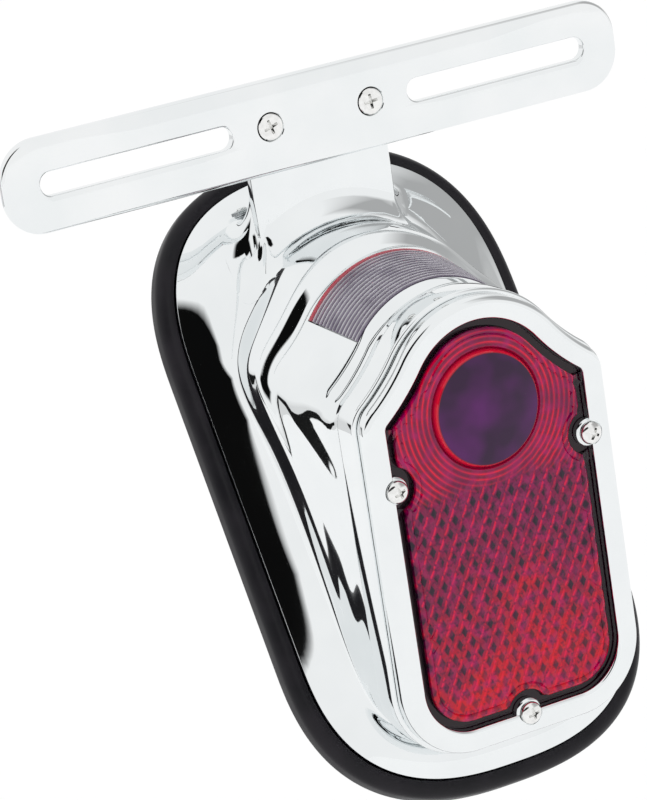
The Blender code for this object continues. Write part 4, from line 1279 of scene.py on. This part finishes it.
def make_camera():
    data = bpy.data.cameras.new("camera")
    data.lens = LENS_MM
    data.sensor_width = 36.0
    data.sensor_fit = "AUTO"
    data.clip_start, data.clip_end = 0.05, 20.0
    camera = add_object("camera", data)
    az, el = math.radians(LOOK_AZIMUTH), math.radians(LOOK_DOWN)
    forward = Vector((math.sin(az) * math.cos(el), math.cos(az) * math.cos(el), -math.sin(el)))
    turn = forward.to_track_quat("-Z", "Y").to_matrix() @ Matrix.Rotation(math.radians(-ROLL), 3, "Z")
    camera.matrix_world = Matrix.Translation(Vector(CAMERA_AT) * MM) @ turn.to_4x4()
    bpy.context.scene.camera = camera


# name: (brightness, distance in metres, softness of the edge, corners as azimuth and elevation in
# degrees, with azimuth 0 in front of the lens and 90 to the right)
CARDS = {
    "dark_gap": (
        0.004, 1.4, 0.1,
        ((-97, 5), (-93, 25), (-72, 38), (-52, 48), (-12, 49), (-7, 33), (-28, 27), (-55, 19)),
    ),
    "dark_stand": (
        0.01, 1.4, 0.06,
        ((-134, -24), (-140, -11), (-145, 3), (-139, 3), (-132, -11), (-127, -24)),
    ),
    "grey_left": (0.77, 1.5, 0.20, ((-170, -28), (-172, 4), (-128, 4), (-124, -28))),
    "grey_right": (0.45, 1.5, 0.25, ((34, 16), (40, 50), (104, 46), (114, 16), (80, 10))),
    "grey_low_right": (0.55, 1.5, 0.2, ((95, 20), (112, 22), (148, -6), (120, -4), (94, 4))),
    "dark_right": (0.02, 1.4, 0.1, ((137, -2), (142, 2), (151, -8), (149, -12))),
}


def make_card(name, brightness, distance, softness, corners):
    """A soft-edged reflector card that the chrome sees and the camera doesn't."""

    def toward(azimuth, elevation):
        az, el = math.radians(azimuth), math.radians(elevation)
        return Vector((math.sin(az) * math.cos(el), -math.cos(az) * math.cos(el), math.sin(el))) * distance

    count = len(corners)
    middle = Vector((sum(a for a, _ in corners) / count, sum(e for _, e in corners) / count))
    arms = [Vector(corner) - middle for corner in corners]
    points = [toward(*(middle + arm * scale)) for scale in (1.0 - softness, 1.0 + softness) for arm in arms]
    faces = [(i, (i + 1) % count, 2 * count) for i in range(count)]
    faces += [(i, count + i, count + (i + 1) % count, (i + 1) % count) for i in range(count)]
    mesh = bpy.data.meshes.new(name)
    mesh.from_pydata(points + [toward(*middle)], [], faces)
    cover = mesh.attributes.new("cover", "FLOAT", "POINT")
    for i, value in enumerate(cover.data):
        value.value = 0.0 if count <= i < 2 * count else 1.0
    card = add_object(name, mesh)
    glow = {"Specular_IOR_Level": 0.0, "Emission_Color": (brightness,) * 3, "Emission_Strength": 1.0}
    made = new_material(name, (0.0, 0.0, 0.0), 1.0, **glow)
    amount = made.node_tree.nodes.new("ShaderNodeAttribute")
    amount.attribute_name = "cover"
    link(made, amount.outputs["Fac"], made.node_tree.nodes["Principled BSDF"].inputs["Alpha"])
    mesh.materials.append(made)
    for ray in ("camera", "diffuse", "shadow", "transmission"):
        setattr(card, f"visible_{ray}", False)


FLOOR_DROP = 0.25
FLOOR_HALF = 3.0
FLOOR_GLOW = 0.14
SKY_STRENGTH = 0.97


def make_stage():
    floor_mesh = bpy.data.meshes.new("floor")
    level = cad_low.z - FLOOR_DROP
    corners = [(x * FLOOR_HALF, y * FLOOR_HALF, level) for x, y in ((-1, -1), (1, -1), (1, 1), (-1, 1))]
    floor_mesh.from_pydata(corners, [], [(0, 1, 2, 3)])
    floor = add_object("floor", floor_mesh)
    glow = {"Specular_IOR_Level": 0.1, "Emission_Color": (1.0, 1.0, 1.0), "Emission_Strength": FLOOR_GLOW}
    floor_mesh.materials.append(new_material("pale_paper", (0.9, 0.9, 0.9), 0.9, **glow))
    world = bpy.data.worlds.new("studio")
    bpy.context.scene.world = world
    world.use_nodes = True
    back = world.node_tree.nodes["Background"]
    back.inputs["Color"].default_value = (1.0, 1.0, 1.0, 1.0)
    back.inputs["Strength"].default_value = SKY_STRENGTH
    for name, look in CARDS.items():
        make_card(name, *look)
    bpy.context.scene.view_settings.view_transform = "Standard"


def main():
    mats = make_materials()
    dress_nodes(mats)
    make_housing(mats)
    make_bezel(mats)
    make_gasket(mats)
    make_strap(mats)
    make_screws(mats)
    make_window(mats)
    make_lens(mats)
    make_spring(mats)
    make_camera()
    make_stage()


main()
